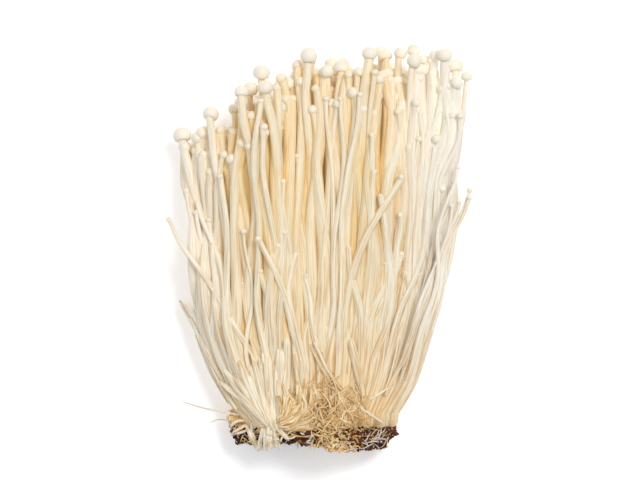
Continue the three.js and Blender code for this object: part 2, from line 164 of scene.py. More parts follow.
# ---- Looks ----
STEM_SIDES = 12
PLAIN_STEM_SIDES = 8
CAP_SIDES = 18
CRUST_TOP_Y = -66.5
TABLE_GAP = 0.05
FREE_CAP_Y = -24  # from here up, a cap stands more and more free of the taper
FREE_STEM = 26  # the length over which its stem bends out to it
HULL_X, HULL_Y = 65, 85  # half the width and length of the hull's grid
SKIN_DEPTH = 0.3  # what lies no deeper in the bunch than this gets no painted shade or glow at all
BURIED_DEPTH = 2.4  # and this much further in it gets them in full
BODY_SIDES = 150
FOOT_SIDES = 60
WELL_ABOVE = 80
THREAD_STEP = 0.9
THREAD_FALL = 0.5  # the most that a draped thread falls or rises in a step
ROOT_THREAD_POINTS = 9
FOOT_FIBRES = 8
FELT_FIBRES = 220
CRUST_CRUMBS, SHOULDER_CRUMBS, END_CRUMBS = 1300, 420, 900
CLUMP_CRUMBS, CLUMP_END_CRUMBS = 2100, 230
JOINED_STEMS, PARTED_STRANDS = 20, 7
FAN_RIBBONS, UPRIGHT_RIBBONS = 54, 26
TANGLED_FIBRES, CURLY_FIBRES, SIDE_FIBRES = 130, 46, 40
GREY_THREADS, NOTCH_THREADS, CRUST_THREADS = 14, 24, 14


class Draws:
    """Seeded draws, the same on every run."""

    def __init__(self, seed):
        self.state = seed

    def __call__(self, low=0.0, high=1.0):
        self.state = self.state * 48271 % 2147483647
        return low + ((high - low) * self.state) / 2147483647


draw = Draws(20417)  # for what the part's source places too
vary = Draws(90731)  # for what only the looks have


def any_angle():
    return vary(0, 6.28)


def clamp(value, low, high):
    return min(high, max(low, value))


def between(low, high, share):
    return low + (high - low) * share


def half_width(y):
    opened = 1 - math.exp(-max(0, y - FOOT_Y) / FAN_REACH)
    return between(FOOT_HALF_WIDTH, FAN_HALF_WIDTH, opened)


def crest(x):
    return CREST_Y - 0.6 * max(0, -4 - x) - max(0, x - 47)


def thinned(y):
    """The heart's thickness as a share of what it is at the foot."""
    return 1 - 0.25 * clamp((y - FREE_Y) / (CREST_Y - FREE_Y), 0, 1)


def heart_top(share, y):
    arch = max(0, 1 - (share / HEART_SHARE) ** 2) ** 0.8
    return UNDER_HEIGHT + SEAM + HEART_HEIGHT * arch * thinned(y)


def heart_end(share):
    return crest(share * FAN_HALF_WIDTH) - 36


def eased(value):
    value = clamp(value, 0, 1)
    return value * value * (3 - 2 * value)


def bump(value, middle, width):
    return math.exp(-(((value - middle) / width) ** 2))


def tapered(taper, y):
    return sum(share * eased((start - y) / length) for start, length, share in taper)


def gathered(x, y):
    """Draws both sides in towards the root, and the end of the left one into a single foot."""
    if x > STRAIGHT_HALF_WIDTH:
        return x - (x - STRAIGHT_HALF_WIDTH) * tapered(RIGHT_TAPER, y)
    drawn = x + max(0, -STRAIGHT_HALF_WIDTH - x) * tapered(LEFT_TAPER, y)
    pull = 0.45 * clamp((-8 - drawn) / 8, 0, 1)
    return drawn + pull * (LEFT_FOOT_X - drawn) * eased((-56 - y) / 10)


def root_end(x):
    """How far down the stems stay in sight before the root takes them in."""
    return -65.5 + 6 * bump(x, 2, 9) + 1.5 * clamp((x - 8) / 10, 0, 1)


# ---- The laying rule ----
class Mushroom:
    def __init__(self, data, start_y=FOOT_Y, give=draw):
        cap_x, cap_y, self.cap_size, self.stem_size, self.foot_share, bow = data
        self.top_y = cap_y + (CAP_HEIGHT * self.cap_size) / 2
        tip_share = cap_x / half_width(cap_y)
        wave = give(0.1, 0.4)
        phase = give(0, 2 * math.pi)
        self.x, self.y, self.z, self.reach = [], [], [], []
        radii = []
        y = start_y
        while y < self.top_y + STEP:
            freed = clamp((y - FREE_Y) / (self.top_y - FREE_Y), 0, 1.05)
            share = between(self.foot_share, tip_share, freed)
            sway = min(1, freed * 3) * wave * math.sin(2.6 * math.pi * freed + phase)
            self.x.append(share * half_width(y) + bow * math.sin(math.pi * freed) + sway)
            self.y.append(y)
            self.z.append(0.0)
            girth = 0.78 + 0.22 * clamp((y - FOOT_Y) / 45, 0, 1)
            in_cap = y > self.top_y - CAP_HEIGHT * self.cap_size - STEP / 2
            radii.append((self.cap_size if in_cap else self.stem_size * girth) / 2)
            y += STEP
        last = len(radii) - 1
        for i, radius in enumerate(radii):
            a, b = min(i + 1, last), max(i - 1, 0)
            lean = (self.x[a] - self.x[b]) / (self.y[a] - self.y[b])
            self.reach.append(radius * math.sqrt(1 + lean * lean))
        self.first = station_number(start_y)
        self.tone = None


def station_number(y):
    return math.floor((y - FOOT_Y) / STEP + 0.5)


laid = []


def height_needed(m, i, on_heart):
    x, y, reach = m.x[i], m.y[i], m.reach[i]
    height = reach + REST_GAP
    share = x / half_width(y)
    if on_heart and y < heart_end(share):
        height = max(height, heart_top(share, y) + SEAM + reach)
    number = station_number(y)
    for other in laid:
        k = number - other.first
        if k < 0 or k >= len(other.x):
            continue
        both = reach + other.reach[k] + GAP
        apart = x - other.x[k]
        if abs(apart) < both:
            height = max(height, other.z[k] + math.sqrt(both * both - apart * apart))
    return height


def lay(m, foot_height, on_heart):
    """Rests a stem on what lies beneath it as a stiff rod, and returns the height of its start."""
    free = next(i for i, y in enumerate(m.y) if y >= FREE_Y)
    start = foot_height(m.y[free])
    for i, y in enumerate(m.y):
        if i > free:
            floor = m.z[i - 1] - STEEPEST_FALL * STEP
            m.z[i] = max(height_needed(m, i, on_heart), floor)
            start = max(start, m.z[i] - STEEPEST_RISE * (y - m.y[free]))
        else:
            m.z[i] = foot_height(y)
    lift = start - m.z[free]
    for i in range(free + 1):
        m.z[i] += (lift * (m.y[i] - FOOT_Y)) / (m.y[free] - FOOT_Y)
    ridge = []
    for i in range(free, len(m.y)):
        while len(ridge) > 1 and slope(m, ridge[-2], ridge[-1]) <= slope(m, ridge[-1], i):
            ridge.pop()
        ridge.append(i)
    for a, b in zip(ridge, ridge[1:]):
        rise = slope(m, a, b)
        for i in range(a + 1, b):
            m.z[i] = m.z[a] + rise * (m.y[i] - m.y[a])
    return start


def slope(m, a, b):
    return (m.z[b] - m.z[a]) / (m.y[b] - m.y[a])


class Foot:
    def __init__(self, name, low, high, rows, base_height):
        self.name, self.low, self.high = name, low, high
        self.height, self.base_height = ROW_PITCH * rows, base_height
        self.end = FREE_Y - draw(1, 7)
        self.lift = 0.0
        self.members = []


def make_feet(name, count, rows, base_height):
    feet = []
    for i in range(count):
        low, high = between(-0.97, 0.97, i / count), between(-0.97, 0.97, (i + 1) / count)
        feet.append(Foot(f"{name}_{i + 1:02d}", low, high, rows, base_height))
    slots = [
        {"foot": foot, "row": row, "share": between(foot.low, foot.high, column), "taken": False}
        for row in range(rows)
        for foot in feet
        for column in (0.25, 0.75)
    ]
    return feet, slots


def plant(slots, data, on_heart, ceiling=math.inf):
    free = [slot for slot in slots if not slot["taken"]]
    slot = min(free, key=lambda s: abs(s["share"] - data[4]) + 0.07 * s["row"])
    foot, share, row = slot["foot"], slot["share"], slot["row"]
    m = Mushroom([*data[:4], share, data[5]])
    start = lay(m, lambda y: foot.base_height(share, y) + ROW_PITCH * (row + 0.55), on_heart)
    if any(z + reach > ceiling for z, reach in zip(m.z, m.reach)):
        return False
    slot["taken"] = True
    top = start + m.stem_size / 2 - foot.base_height(share, FREE_Y)
    foot.lift = max(foot.lift, top - foot.height)
    laid.append(m)
    foot.members.append(m)
    return True


under_feet, under_slots = make_feet("under_tuft", UNDER_FEET, 2, lambda share, y: 0.2)
upper_feet, upper_slots = make_feet(
    "upper_tuft", UPPER_FEET, 3, lambda share, y: heart_top(share, y) + SEAM
)


def plant_under():
    for i in range(UNDER_FILL):
        share = between(-0.95, 0.95, (i + draw(0.3, 0.7)) / UNDER_FILL)
        x = share * FAN_HALF_WIDTH
        for _ in range(6):
            cap_y = crest(x) - draw(2, 26)
            data = [x, cap_y, draw(4.4, 6.2), draw(2.3, 3), share * 0.94, draw(-1, 1)]
            if plant(under_slots, data, False, UNDER_HEIGHT):
                break


heart_members = []


def plant_heart():
    for row, count in enumerate(HEART_ROWS):
        for i in range(count):
            spread = 0.84 - 0.16 * row
            share = between(-spread, spread, (i + draw(0.35, 0.65)) / count)
            x = share * FAN_HALF_WIDTH
            data = [x, crest(x) - draw(1, 19), draw(4.2, 6.2), draw(2.4, 3.2), share, 0]
            start_y = FOOT_Y + STEP * math.floor((heart_end(share) - 16 - FOOT_Y) / STEP)
            m = Mushroom(data, start_y)
            height = between(UNDER_HEIGHT, heart_top(share, start_y), 0.24 + 0.26 * row)
            m.z = [max(height, UNDER_HEIGHT + 3.4)] * len(m.x)
            laid.append(m)
            heart_members.append(m)


def plant_upper_fill():
    for i in range(UPPER_FILL):
        share = between(-0.95, 0.95, (i + draw(0.25, 0.75)) / UPPER_FILL)
        x = share * FAN_HALF_WIDTH
        tall = draw() < 0.6
        cap_y = crest(x) - (draw(4, 14) if tall else draw(24, 66))
        cap_size = draw(4.2, 5.8) if tall else draw(2.2, 3.2)
        stem_size = draw(2.3, 3) if tall else draw(1.7, 2.2)
        plant(upper_slots, [x, cap_y, cap_size, stem_size, share * 0.96, draw(-2, 2)], True)


plant_under()
plant_heart()
plant_upper_fill()
for row in UPPERMOST:
    plant(upper_slots, row, True)


# ---- Mushrooms that only the looks have ----
def nearest_foot(feet, share):
    return min(feet, key=lambda foot: abs((foot.low + foot.high) / 2 - share))


def plant_thin(feet, data, on_heart, ceiling=math.inf):
    """A mushroom with no foot slot of its own, kept only where it lies low enough."""
    foot = nearest_foot(feet, data[4])
    m = Mushroom(data, give=vary)
    level = vary(0.15, 0.85)
    height = foot.height * level
    lay(m, lambda y: foot.base_height(data[4], y) + height, on_heart)
    if max(z + r for z, r in zip(m.z, m.reach)) > ceiling:
        return
    laid.append(m)
    foot.members.append(m)


def plant_under_thin(tries):
    for i in range(tries):
        share = between(-0.97, 0.97, (i + vary()) / tries)
        x = share * FAN_HALF_WIDTH
        data = [x, crest(x) - vary(6, 60), vary(2, 4.6), vary(1.5, 2.6), share * 0.95, vary(-1, 1)]
        plant_thin(under_feet, data, False, UNDER_HEIGHT + 0.4)


def plant_heart_rows():
    """Packs the heart with rows of stems that run on to their own caps."""
    pitch = 2.9
    for row in range(4):
        up = 1.5 + pitch * row
        reach = max(0.0, 1 - ((up + 1.2) / (HEART_HEIGHT + 1.4)) ** 1.25)
        spread = HEART_SHARE * math.sqrt(reach) * 0.98
        count = int(2 * spread * FAN_HALF_WIDTH / pitch)
        for i in range(count):
            share = between(-spread, spread, (i + 0.5 + vary(-0.2, 0.2)) / count)
            x = share * FAN_HALF_WIDTH
            cap_y = crest(x) - 4 - (i * 5 + row * 7) % 17 - vary(0, 3)
            data = [x, cap_y, vary(3.2, 5.2), vary(2.6, 3.3), share, vary(-0.6, 0.6)]
            m = Mushroom(data, give=vary)
            m.z = [UNDER_HEIGHT + SEAM + up * thinned(y) for y in m.y]
            # Painted shade: the heart's stems get the lowest, darkest tone.
            m.tone = 0.0
            heart_members.append(m)


class Hull:
    """The upper side of the bunch on a grid of 1 mm, with the gaps between mushrooms bridged."""

    def __init__(self, members):
        top = np.full((2 * HULL_X, 2 * HULL_Y), -1.0)
        for m in members:
            for y in np.arange(m.y[0], m.top_y - 1, 1.0):
                x, z = gathered(np.interp(y, m.y, m.x), y), np.interp(y, m.y, m.z)
                for dx in (-1, 0, 1):
                    i, k = self.cell(x + dx, y)
                    top[i, k] = max(top[i, k], z + m.stem_size / 2 - 0.3 * dx * dx)
        self.left, self.right = [
            np.array([gathered(side * half_width(y), y) for y in range(-HULL_Y, HULL_Y)])
            for side in (-1, 1)
        ]
        for i in range(2 * HULL_X):
            for k in range(2 * HULL_Y):
                x, y = i - HULL_X, k - HULL_Y
                if top[i, k] < 0 and self.left[k] < x < self.right[k]:
                    top[i, k] = heart_top(x / half_width(y), y)
        top = self.spread(top, 3, np.maximum.reduce)
        for _ in range(3):
            top = self.spread(top, 2, lambda stack: np.mean(stack, axis=0))
        self.top = top

    def painted_shade_depth(self, points):
        """0 at the outside of the bunch, and 1 deep inside it. It sets how much painted shade and
        glow a stem gets.
        """
        x, y, z = points.T
        i = np.clip(np.rint(x) + HULL_X, 0, 2 * HULL_X - 1).astype(int)
        k = np.clip(np.rint(y) + HULL_Y, 0, 2 * HULL_Y - 1).astype(int)
        beside = np.minimum(x - self.left[k], self.right[k] - x)
        inside = np.minimum(np.minimum(self.top[i, k] - z, z), beside)
        return np.clip((inside - SKIN_DEPTH) / BURIED_DEPTH, 0, 1)

    @staticmethod
    def cell(x, y):
        i, k = round(x) + HULL_X, round(y) + HULL_Y
        return int(clamp(i, 0, 2 * HULL_X - 1)), int(clamp(k, 0, 2 * HULL_Y - 1))

    @staticmethod
    def spread(grid, reach, gather):
        for axis in (0, 1):
            grid = gather([np.roll(grid, d, axis) for d in range(-reach, reach + 1)])
        return grid

    def height(self, x, y):
        return self.top[self.cell(x, y)]


def plant_crowd(hull, count, depth, cap, stem, crossing, tall, tone, first=-0.97):
    """Mushrooms that fill the bunch just below its hull, so that no gap goes deep. The deeper
    crowds are given lower tones, as painted shade.
    """
    for i in range(count):
        share = between(first, 0.97, (i + vary(0.1, 0.9)) / count)
        foot_share = clamp(share + vary(-crossing, crossing), -0.96, 0.96)
        x = share * FAN_HALF_WIDTH
        cap_y = crest(x) - (vary(5, 22) if vary() < tall else vary(22, 100))
        if cap_y < -22 - 30 * abs(share):
            continue
        cap_x = share * half_width(cap_y)
        m = Mushroom([cap_x, cap_y, vary(*cap), vary(*stem), foot_share, vary(-4, 4)], give=vary)
        low = vary(*depth) + m.stem_size / 2
        heights = [hull.height(gathered(x, y), y) - low for x, y in zip(m.x, m.y)]
        m.z = list(np.maximum(smoothed(heights, 5), m.stem_size / 2 + REST_GAP))
        m.tone = tone
        nearest_foot(upper_feet, foot_share).members.append(m)


def smoothed(values, passes):
    values = np.array(values, float)
    for _ in range(passes):
        inner = (values[:-2] + 2 * values[1:-1] + values[2:]) / 4
        values = np.concatenate([values[:1], inner, values[-1:]])
    return values


plant_under_thin(60)
plant_heart_rows()
hull = Hull(laid)
for row in EDGE_PINS:
    plant_thin(upper_feet, row, True)
# The deeper a crowd lies, the lower and darker its given tone, as painted shade.
plant_crowd(hull, 44, (2.6, 4.4), (3.4, 4.8), (3.2, 4.2), 0.06, 1, 0.2)
plant_crowd(hull, 34, (1.0, 2.6), (3.2, 4.6), (2.6, 3.8), 0.2, 1, 0.6)
plant_crowd(hull, 30, (-0.2, 0.8), (1.6, 2.6), (1.4, 2.4), 0.2, 0.1, 0.8)
plant_crowd(hull, 9, (0.5, 1.6), (2.6, 3.6), (2.6, 3.4), 0.06, 0.5, 0.9, first=0.55)


# ---- Sweeping ----
def frames(points):
    """Unit tangents and two normals along a path, without twist."""
    tangents = np.gradient(points, axis=0)
    tangents /= np.linalg.norm(tangents, axis=1)[:, None] + 1e-12
    side = np.cross(tangents[0], (0.03, 0.02, 1.0))
    sides = []
    for tangent in tangents:
        side = side - tangent * np.dot(side, tangent)
        side = side / (np.linalg.norm(side) + 1e-12)
        sides.append(side)
    sides = np.array(sides)
    return tangents, sides, np.cross(tangents, sides)


class Skin:
    """Gathers swept and scattered shapes into one mesh. Each point has a tone, a cap mask and a
    grain place, which runs along the shape that it belongs to."""

    def __init__(self):
        self.points, self.faces, self.tone, self.cap, self.grain = [], [], [], [], []
        self.count = 0

    def add(self, points, faces, tone, cap=0.0, grain=None):
        points[:, 2] = np.maximum(points[:, 2], TABLE_GAP)
        self.points.append(points)
        self.faces.extend([[i + self.count for i in face] for face in faces])
        self.tone.append(np.full(len(points), tone))
        self.cap.append(np.full(len(points), cap))
        self.grain.append(points[:, (0, 2, 1)] if grain is None else grain)
        self.count += len(points)

    def rings(self, rings, start, end, tone, cap=0.0, grain=None):
        """Rings of equal size, closed with a point at each end."""
        count, sides = rings.shape[:2]
        points = np.concatenate([rings.reshape(-1, 3), [start], [end]])
        if grain is not None:
            grain = np.concatenate([grain.reshape(-1, 3), grain[0, :1], grain[-1, :1]])
        faces = []
        for i in range(count - 1):
            a, b = i * sides, (i + 1) * sides
            for k in range(sides):
                n = (k + 1) % sides
                faces.append((a + k, a + n, b + n, b + k))
        first, last, top = count * sides, count * sides + 1, (count - 1) * sides
        for k in range(sides):
            n = (k + 1) % sides
            faces.append((first, n, k))
            faces.append((last, top + k, top + n))
        self.add(points, faces, tone, cap, grain)

    def sweep(self, points, radii, sides, tone, fluting=0.0, flat=0.0):
        points = np.array(points, float)
        tangents, side, up = frames(points)
        angles = np.arange(sides) * 2 * math.pi / sides
        phase, turn = any_angle(), vary(-0.04, 0.04)
        along = np.arange(len(points))[:, None]
        girth = 1 + fluting * np.cos(2 * angles[None] + phase + turn * along)
        girth = girth + fluting / 2 * np.cos(3 * angles[None] - phase + 2 * turn * along)
        radii = np.array(radii, float)[:, None] * girth
        wide = 1 + np.broadcast_to(flat, len(points))[:, None]
        rings = points[:, None] + (
            side[:, None] * (wide * radii * np.cos(angles))[..., None]
            + up[:, None] * (radii * np.sin(angles))[..., None]
        )
        lengths = np.linalg.norm(np.diff(points, axis=0), axis=1)
        length = np.concatenate([[0], np.cumsum(lengths)])[:, None]
        grain = np.stack([
            radii * np.cos(angles) + 40 * tone,
            radii * np.sin(angles),
            length + 0 * radii,
        ], axis=-1)
        tip = points[-1] + tangents[-1] * radii[-1].mean() * 0.6
        self.rings(rings, points[0] - tangents[0] * 0.05, tip, tone, grain=grain)

    def mesh(self, name, material):
        mesh = bpy.data.meshes.new(name)
        points = (np.concatenate(self.points) + np.array(MIDDLE)) * MM
        mesh.from_pydata(points.tolist(), [], self.faces)
        painted_shade_depth = hull.painted_shade_depth(np.concatenate(self.points))
        for label, values in (("tone", self.tone), ("cap", self.cap), ("painted_shade_depth", [painted_shade_depth])):
            layer = mesh.attributes.new(label, "FLOAT", "POINT")
            layer.data.foreach_set("value", np.concatenate(values).astype(np.float32))
        layer = mesh.attributes.new("grain", "FLOAT_VECTOR", "POINT")
        layer.data.foreach_set("vector", np.concatenate(self.grain).astype(np.float32).ravel())
        mesh.polygons.foreach_set("use_smooth", [True] * len(mesh.polygons))
        mesh.materials.append(material)
        piece = bpy.data.objects.new(name, mesh)
        bpy.context.scene.collection.objects.link(piece)
        return piece


# out from the axis and up, as shares of the cap's radius and height, from the stem to the top
CAP_PROFILE = [
    (0.32, 0.14), (0.52, 0.05), (0.7, 0.04), (0.84, 0.1), (0.94, 0.21), (0.99, 0.34),
    (1.0, 0.46), (0.97, 0.59), (0.9, 0.71), (0.78, 0.83), (0.62, 0.92), (0.42, 0.98), (0.2, 1.0),
]


def point_at(m, xs, zs, y):
    return np.array([np.interp(y, m.y, xs), y, np.interp(y, m.y, zs)])


def bent_down(y, z, end):
    """The height of a stem that bends down into the root over its last 3.5 mm."""
    return z - 0.25 * max(0, end + 3.5 - y) ** 2


def stem_path(m, xs, zs, cap_y, free_cap):
    """The path of a stem from inside the root to just short of its cap."""
    share = m.x[0] / half_width(m.y[0])
    end = root_end(m.x[0]) + vary(-1, 0.8)
    down = [y for y in ROOT_STATIONS if y > end and m.y[0] <= FOOT_Y]
    path = [(share * half_width(y), y, zs[0]) for y in [end, *down]]
    path += [(x, y, z) for x, y, z in zip(xs, m.y, zs) if y < cap_y - 0.8]
    for i, (x, y, z) in enumerate(path):
        free = free_cap * eased(1 - (cap_y - y) / FREE_STEM)
        path[i] = (between(gathered(x, y), x, free), y, bent_down(y, z, end))
    return path


def add_mushroom(skin, m, plain=False):
    """A stem and its cap. Caps that lie low are drawn in with the stems."""
    xs, zs = smoothed(m.x, 2), smoothed(m.z, 4)
    height = CAP_HEIGHT * m.cap_size
    base = point_at(m, xs, zs, m.top_y - height)
    axis = point_at(m, xs, zs, m.top_y) - base
    axis /= np.linalg.norm(axis)
    free_cap = eased((base[1] - FREE_CAP_Y) / -FREE_CAP_Y)
    base[0] = between(gathered(base[0], base[1]), base[0], free_cap)
    path = stem_path(m, xs, zs, base[1], free_cap)
    path += [tuple(base), tuple(base + axis * height * 0.3)]
    # A tone at random, or about the tone given to its row or crowd, which for the heart and the
    # deeper crowds is painted shade.
    tone = vary(0.45, 1) if m.tone is None else clamp(m.tone + vary(-0.22, 0.22), 0, 1)
    swell, shift, sway = vary(0.02, 0.07), any_angle(), vary(0.3, 1.3)
    spread = vary(0.15, 0.45) * clamp((m.stem_size - 1.2) / 1.2, 0, 1)
    radii, swayed = [], []
    for x, y, z in path:
        free = clamp((y - FREE_Y) / 20, 0, 1) * clamp((base[1] - y) / 10, 0, 1)
        girth = 0.94 + 0.06 * clamp((y - FOOT_Y) / 45, 0, 1) + swell * math.sin(0.09 * y + shift)
        broad = 1 + spread * eased((base[1] - y) / 28)
        radii.append(m.stem_size / 2 * girth * broad)
        swayed.append((x + sway * free * math.sin(0.1 * y + 2 * shift), y, z))
    if plain:
        swayed, radii = swayed[:-2:2] + swayed[-2:], radii[:-2:2] + radii[-2:]
    flat = [0.45 * clamp((10 - point[1]) / 50, 0, 1) for point in swayed]
    sides = PLAIN_STEM_SIDES if plain else STEM_SIDES
    skin.sweep(swayed, radii, sides, tone, fluting=0.1, flat=flat)
    tilt = vary(-0.3, 0.6) if zs[-1] > UNDER_HEIGHT else vary(-0.4, 0.2)
    lean = Vector(axis) + Vector((vary(-0.5, 0.5), 0, tilt))
    add_cap(skin, base, lean, m.cap_size / 2, height * vary(0.92, 1.1), tone)


def add_cap(skin, base, lean, radius, height, tone):
    turn = np.array(Vector((0, 0, 1)).rotation_difference(lean.normalized()).to_matrix())
    angles = np.arange(CAP_SIDES) * 2 * math.pi / CAP_SIDES
    phase, oval = any_angle(), vary(0.0, 0.06)
    wobble = 1 + oval * np.cos(2 * angles + phase) + 0.02 * np.cos(3 * angles - phase)
    rings = []
    for out, up in CAP_PROFILE:
        ring = np.stack([
            out * radius * wobble * np.cos(angles),
            out * radius * wobble * np.sin(angles),
            np.full(CAP_SIDES, up * height),
        ], axis=1)
        rings.append(base + ring @ turn.T)
    start = base + turn @ np.array([0, 0, 0.26 * height])
    end = base + turn @ np.array([0, 0, height])
    skin.rings(np.array(rings), start, end, tone, cap=clamp(radius / 2.4, 0.25, 1))


# ---- Feet ----
def foot_level(foot, share, y, level):
    along = clamp((y - FOOT_Y) / (foot.end - FOOT_Y), 0, 1.2)
    return foot.base_height(share, y) + level * (foot.height + foot.lift * along)


def add_foot_fibres(skin, foot):
    """Short stems and fibres that fill a foot between the stems that grow on."""
    for _ in range(FOOT_FIBRES):
        share, level = vary(foot.low, foot.high), vary(0.08, 0.98)
        end = vary(-54, -30) if vary() < 0.8 else vary(-30, -14)
        ys = np.arange(root_end(share * FOOT_HALF_WIDTH) + vary(-1.5, 0.5), end, 2.0)
        bend, turn = vary(-1.2, 1.2), vary(-0.02, 0.02)
        path, radii = [], []
        thick = vary(0.45, 1.15)
        for y in ys:
            t = (y - ys[0]) / (end - ys[0])
            x = (share + turn * t * t) * half_width(y) + bend * t * t
            z = foot_level(foot, share, max(y, FOOT_Y), level) + 0.5 * t * t
            path.append((gathered(x, y), y, bent_down(y, z, ys[0])))
            radii.append(thick * (1 - 0.75 * t ** 3))
        skin.sweep(path, radii, 6, vary(), fluting=0.1)


# ---- Root mat and substrate ----
def fringe(x):
    """How far the crust's ragged end stays short of the root's end."""
    short = 3 * (1 - bump(min(x, 9), 9, 9)) + 0.09 * max(0, x - 9)
    return short + 0.5 * math.sin(1.3 * x) * clamp(short, 0, 1)


def root_top(x):
    """The root lies lower than the stems that run onto it, except in its middle."""
    share = clamp(x / half_width(FOOT_Y), -1, 1)
    return heart_top(share, FOOT_Y) + 5.5 + 4 * bump(x, 2, 9)


def crust_border(angle):
    return CRUST_TOP_Y + 1.2 * math.sin(2 * angle + 0.6) + 0.8 * math.sin(5 * angle)


def root_point(angle, y, size):
    """A point of the root's skin, lumpy, with the flat sole that it rests on."""
    lump = (math.sin(5 * angle + 0.9 * y) + math.sin(9 * angle - 1.7 * y + 2)) / 2
    waist = 0.14 * clamp((CRUST_Y - y) / (CRUST_Y - ROOT_Y), 0, 1)
    size = size * (1 + 0.035 * lump) * (1 - waist)
    c, s = math.cos(angle), math.sin(angle)
    x = ROOT_MIDDLE + math.copysign(abs(c) ** 0.75, c) * ROOT_HALF_WIDTH * size
    reach = root_top(x) - ROOT_MIDDLE_HEIGHT if s > 0 else ROOT_HALF_HEIGHT
    z = ROOT_MIDDLE_HEIGHT + math.copysign(abs(s) ** 0.85, s) * reach * size
    return x, y, max(0.0, z)


def add_root_body(skin, low, high, rough, tone, ragged=0.0):
    """A closed lumpy slab between two borders, with knobbly end faces."""
    end_sizes = (0.2, 0.45, 0.7, 0.88, 0.97)
    rows = [(0, size) for size in end_sizes]
    rows += [(t, 1.0) for t in np.linspace(0, 1, 12)]
    rows += [(1, size) for size in reversed(end_sizes)]
    rings = []
    for t, size in rows:
        ring = []
        for k in range(BODY_SIDES):
            angle = k * 2 * math.pi / BODY_SIDES
            y = between(low(angle), high(angle), t)
            x, y, z = root_point(angle, y, size)
            y += ragged * (1 - t) * fringe(x)
            rise = rough * noise.noise(Vector((x, y * 1.2, z)) * 0.35)
            rise += 0.5 * rough * noise.noise(Vector((x, y, z)) * 0.9)
            if z > 0:
                grown = 1 + rise / ROOT_HALF_HEIGHT
                x, z = x * grown, max(0.0, (z - ROOT_MIDDLE_HEIGHT) * grown + ROOT_MIDDLE_HEIGHT)
            ends = 0 if 0.05 < t < 0.95 else 1
            ring.append((x, y + ends * 1.2 * rise, z))
        rings.append(ring)
    rings = np.array(rings)
    skin.rings(rings, rings[0].mean(0), rings[-1].mean(0), tone)


def add_root_threads(skin, count, low, high, thick, wander, lift):
    """Fibres that run over the root's skin, each end free to lift off it."""
    for _ in range(count):
        angle, y = vary(0, 2 * math.pi), vary(low, high)
        length, heading = vary(5, 15), vary(-0.12, 0.12)
        toward = 1 if vary() < 0.5 else -1
        curl, phase = vary(0, wander), any_angle()
        rise, path = vary(0, lift), []
        for t in np.linspace(0, 1, ROOT_THREAD_POINTS):
            turned = angle + heading * t * 3 + curl * math.sin(4 * t + phase) * 0.12
            along = clamp(y + toward * length * t, low - 2, high + 3)
            size = 1.004 + rise * abs(2 * t - 1) ** 3 / ROOT_HALF_HEIGHT
            px, py, pz = root_point(turned, along, size)
            path.append((px, max(py, ROOT_Y + fringe(px) - 0.8 * rise), max(pz, 0.6)))
        ends = np.abs(np.linspace(-1, 1, ROOT_THREAD_POINTS))
        skin.sweep(path, vary(*thick) * (1 - 0.6 * ends ** 2), 4, vary())


# a crumb starts as a regular body of 20 triangles, about 1 in radius
ICO = (1 + 5 ** 0.5) / 2
CRUMB = np.array([
    (-1, ICO, 0), (1, ICO, 0), (-1, -ICO, 0), (1, -ICO, 0), (0, -1, ICO), (0, 1, ICO),
    (0, -1, -ICO), (0, 1, -ICO), (ICO, 0, -1), (ICO, 0, 1), (-ICO, 0, -1), (-ICO, 0, 1),
]) / 1.9
CRUMB_FACES = [
    (0, 11, 5), (0, 5, 1), (0, 1, 7), (0, 7, 10), (0, 10, 11), (1, 5, 9), (5, 11, 4),
    (11, 10, 2), (10, 7, 6), (7, 1, 8), (3, 9, 4), (3, 4, 2), (3, 2, 6), (3, 6, 8),
    (3, 8, 9), (4, 9, 5), (2, 4, 11), (6, 2, 10), (8, 6, 7), (9, 8, 1),
]


def add_crumb(skin, place, size, tone):
    turn = Vector((vary(-1, 1), vary(-1, 1), vary(-1, 1))).normalized()
    turn = np.array(Vector((0, 0, 1)).rotation_difference(turn).to_matrix())
    shape = CRUMB * np.array([1, vary(0.55, 1), vary(0.4, 0.8)]) * size
    shape = shape * np.array([vary(0.75, 1.25) for _ in CRUMB])[:, None] @ turn.T + place
    shape[:, 2] = np.maximum(shape[:, 2], 0.02 * (shape[:, 0] - place[0]) + 0.05)
    skin.add(shape, CRUMB_FACES, tone)


# ---- Draping threads over what lies below ----
def surface_below(*skins):
    points = np.concatenate([part for skin in skins for part in skin.points])
    faces, start = [], 0
    for skin in skins:
        faces += [[i + start for i in face] for face in skin.faces]
        start += skin.count
    return BVHTree.FromPolygons(points.tolist(), faces)


def height_at(surface, x, y):
    hit = surface.ray_cast(Vector((x, y, WELL_ABOVE)), Vector((0, 0, -1)))[0]
    return 0.0 if hit is None else hit.z


def bent(x, y, heading, bend, far, near=0.0, stops=(0, 0.5, 1)):
    """The corners of a thread that leaves x, y on a heading and turns as it goes."""
    corners = []
    for t in stops:
        reach, angle = between(near, far, t), heading + bend * t
        corners.append((x + reach * math.cos(angle), y + reach * math.sin(angle)))
    return corners


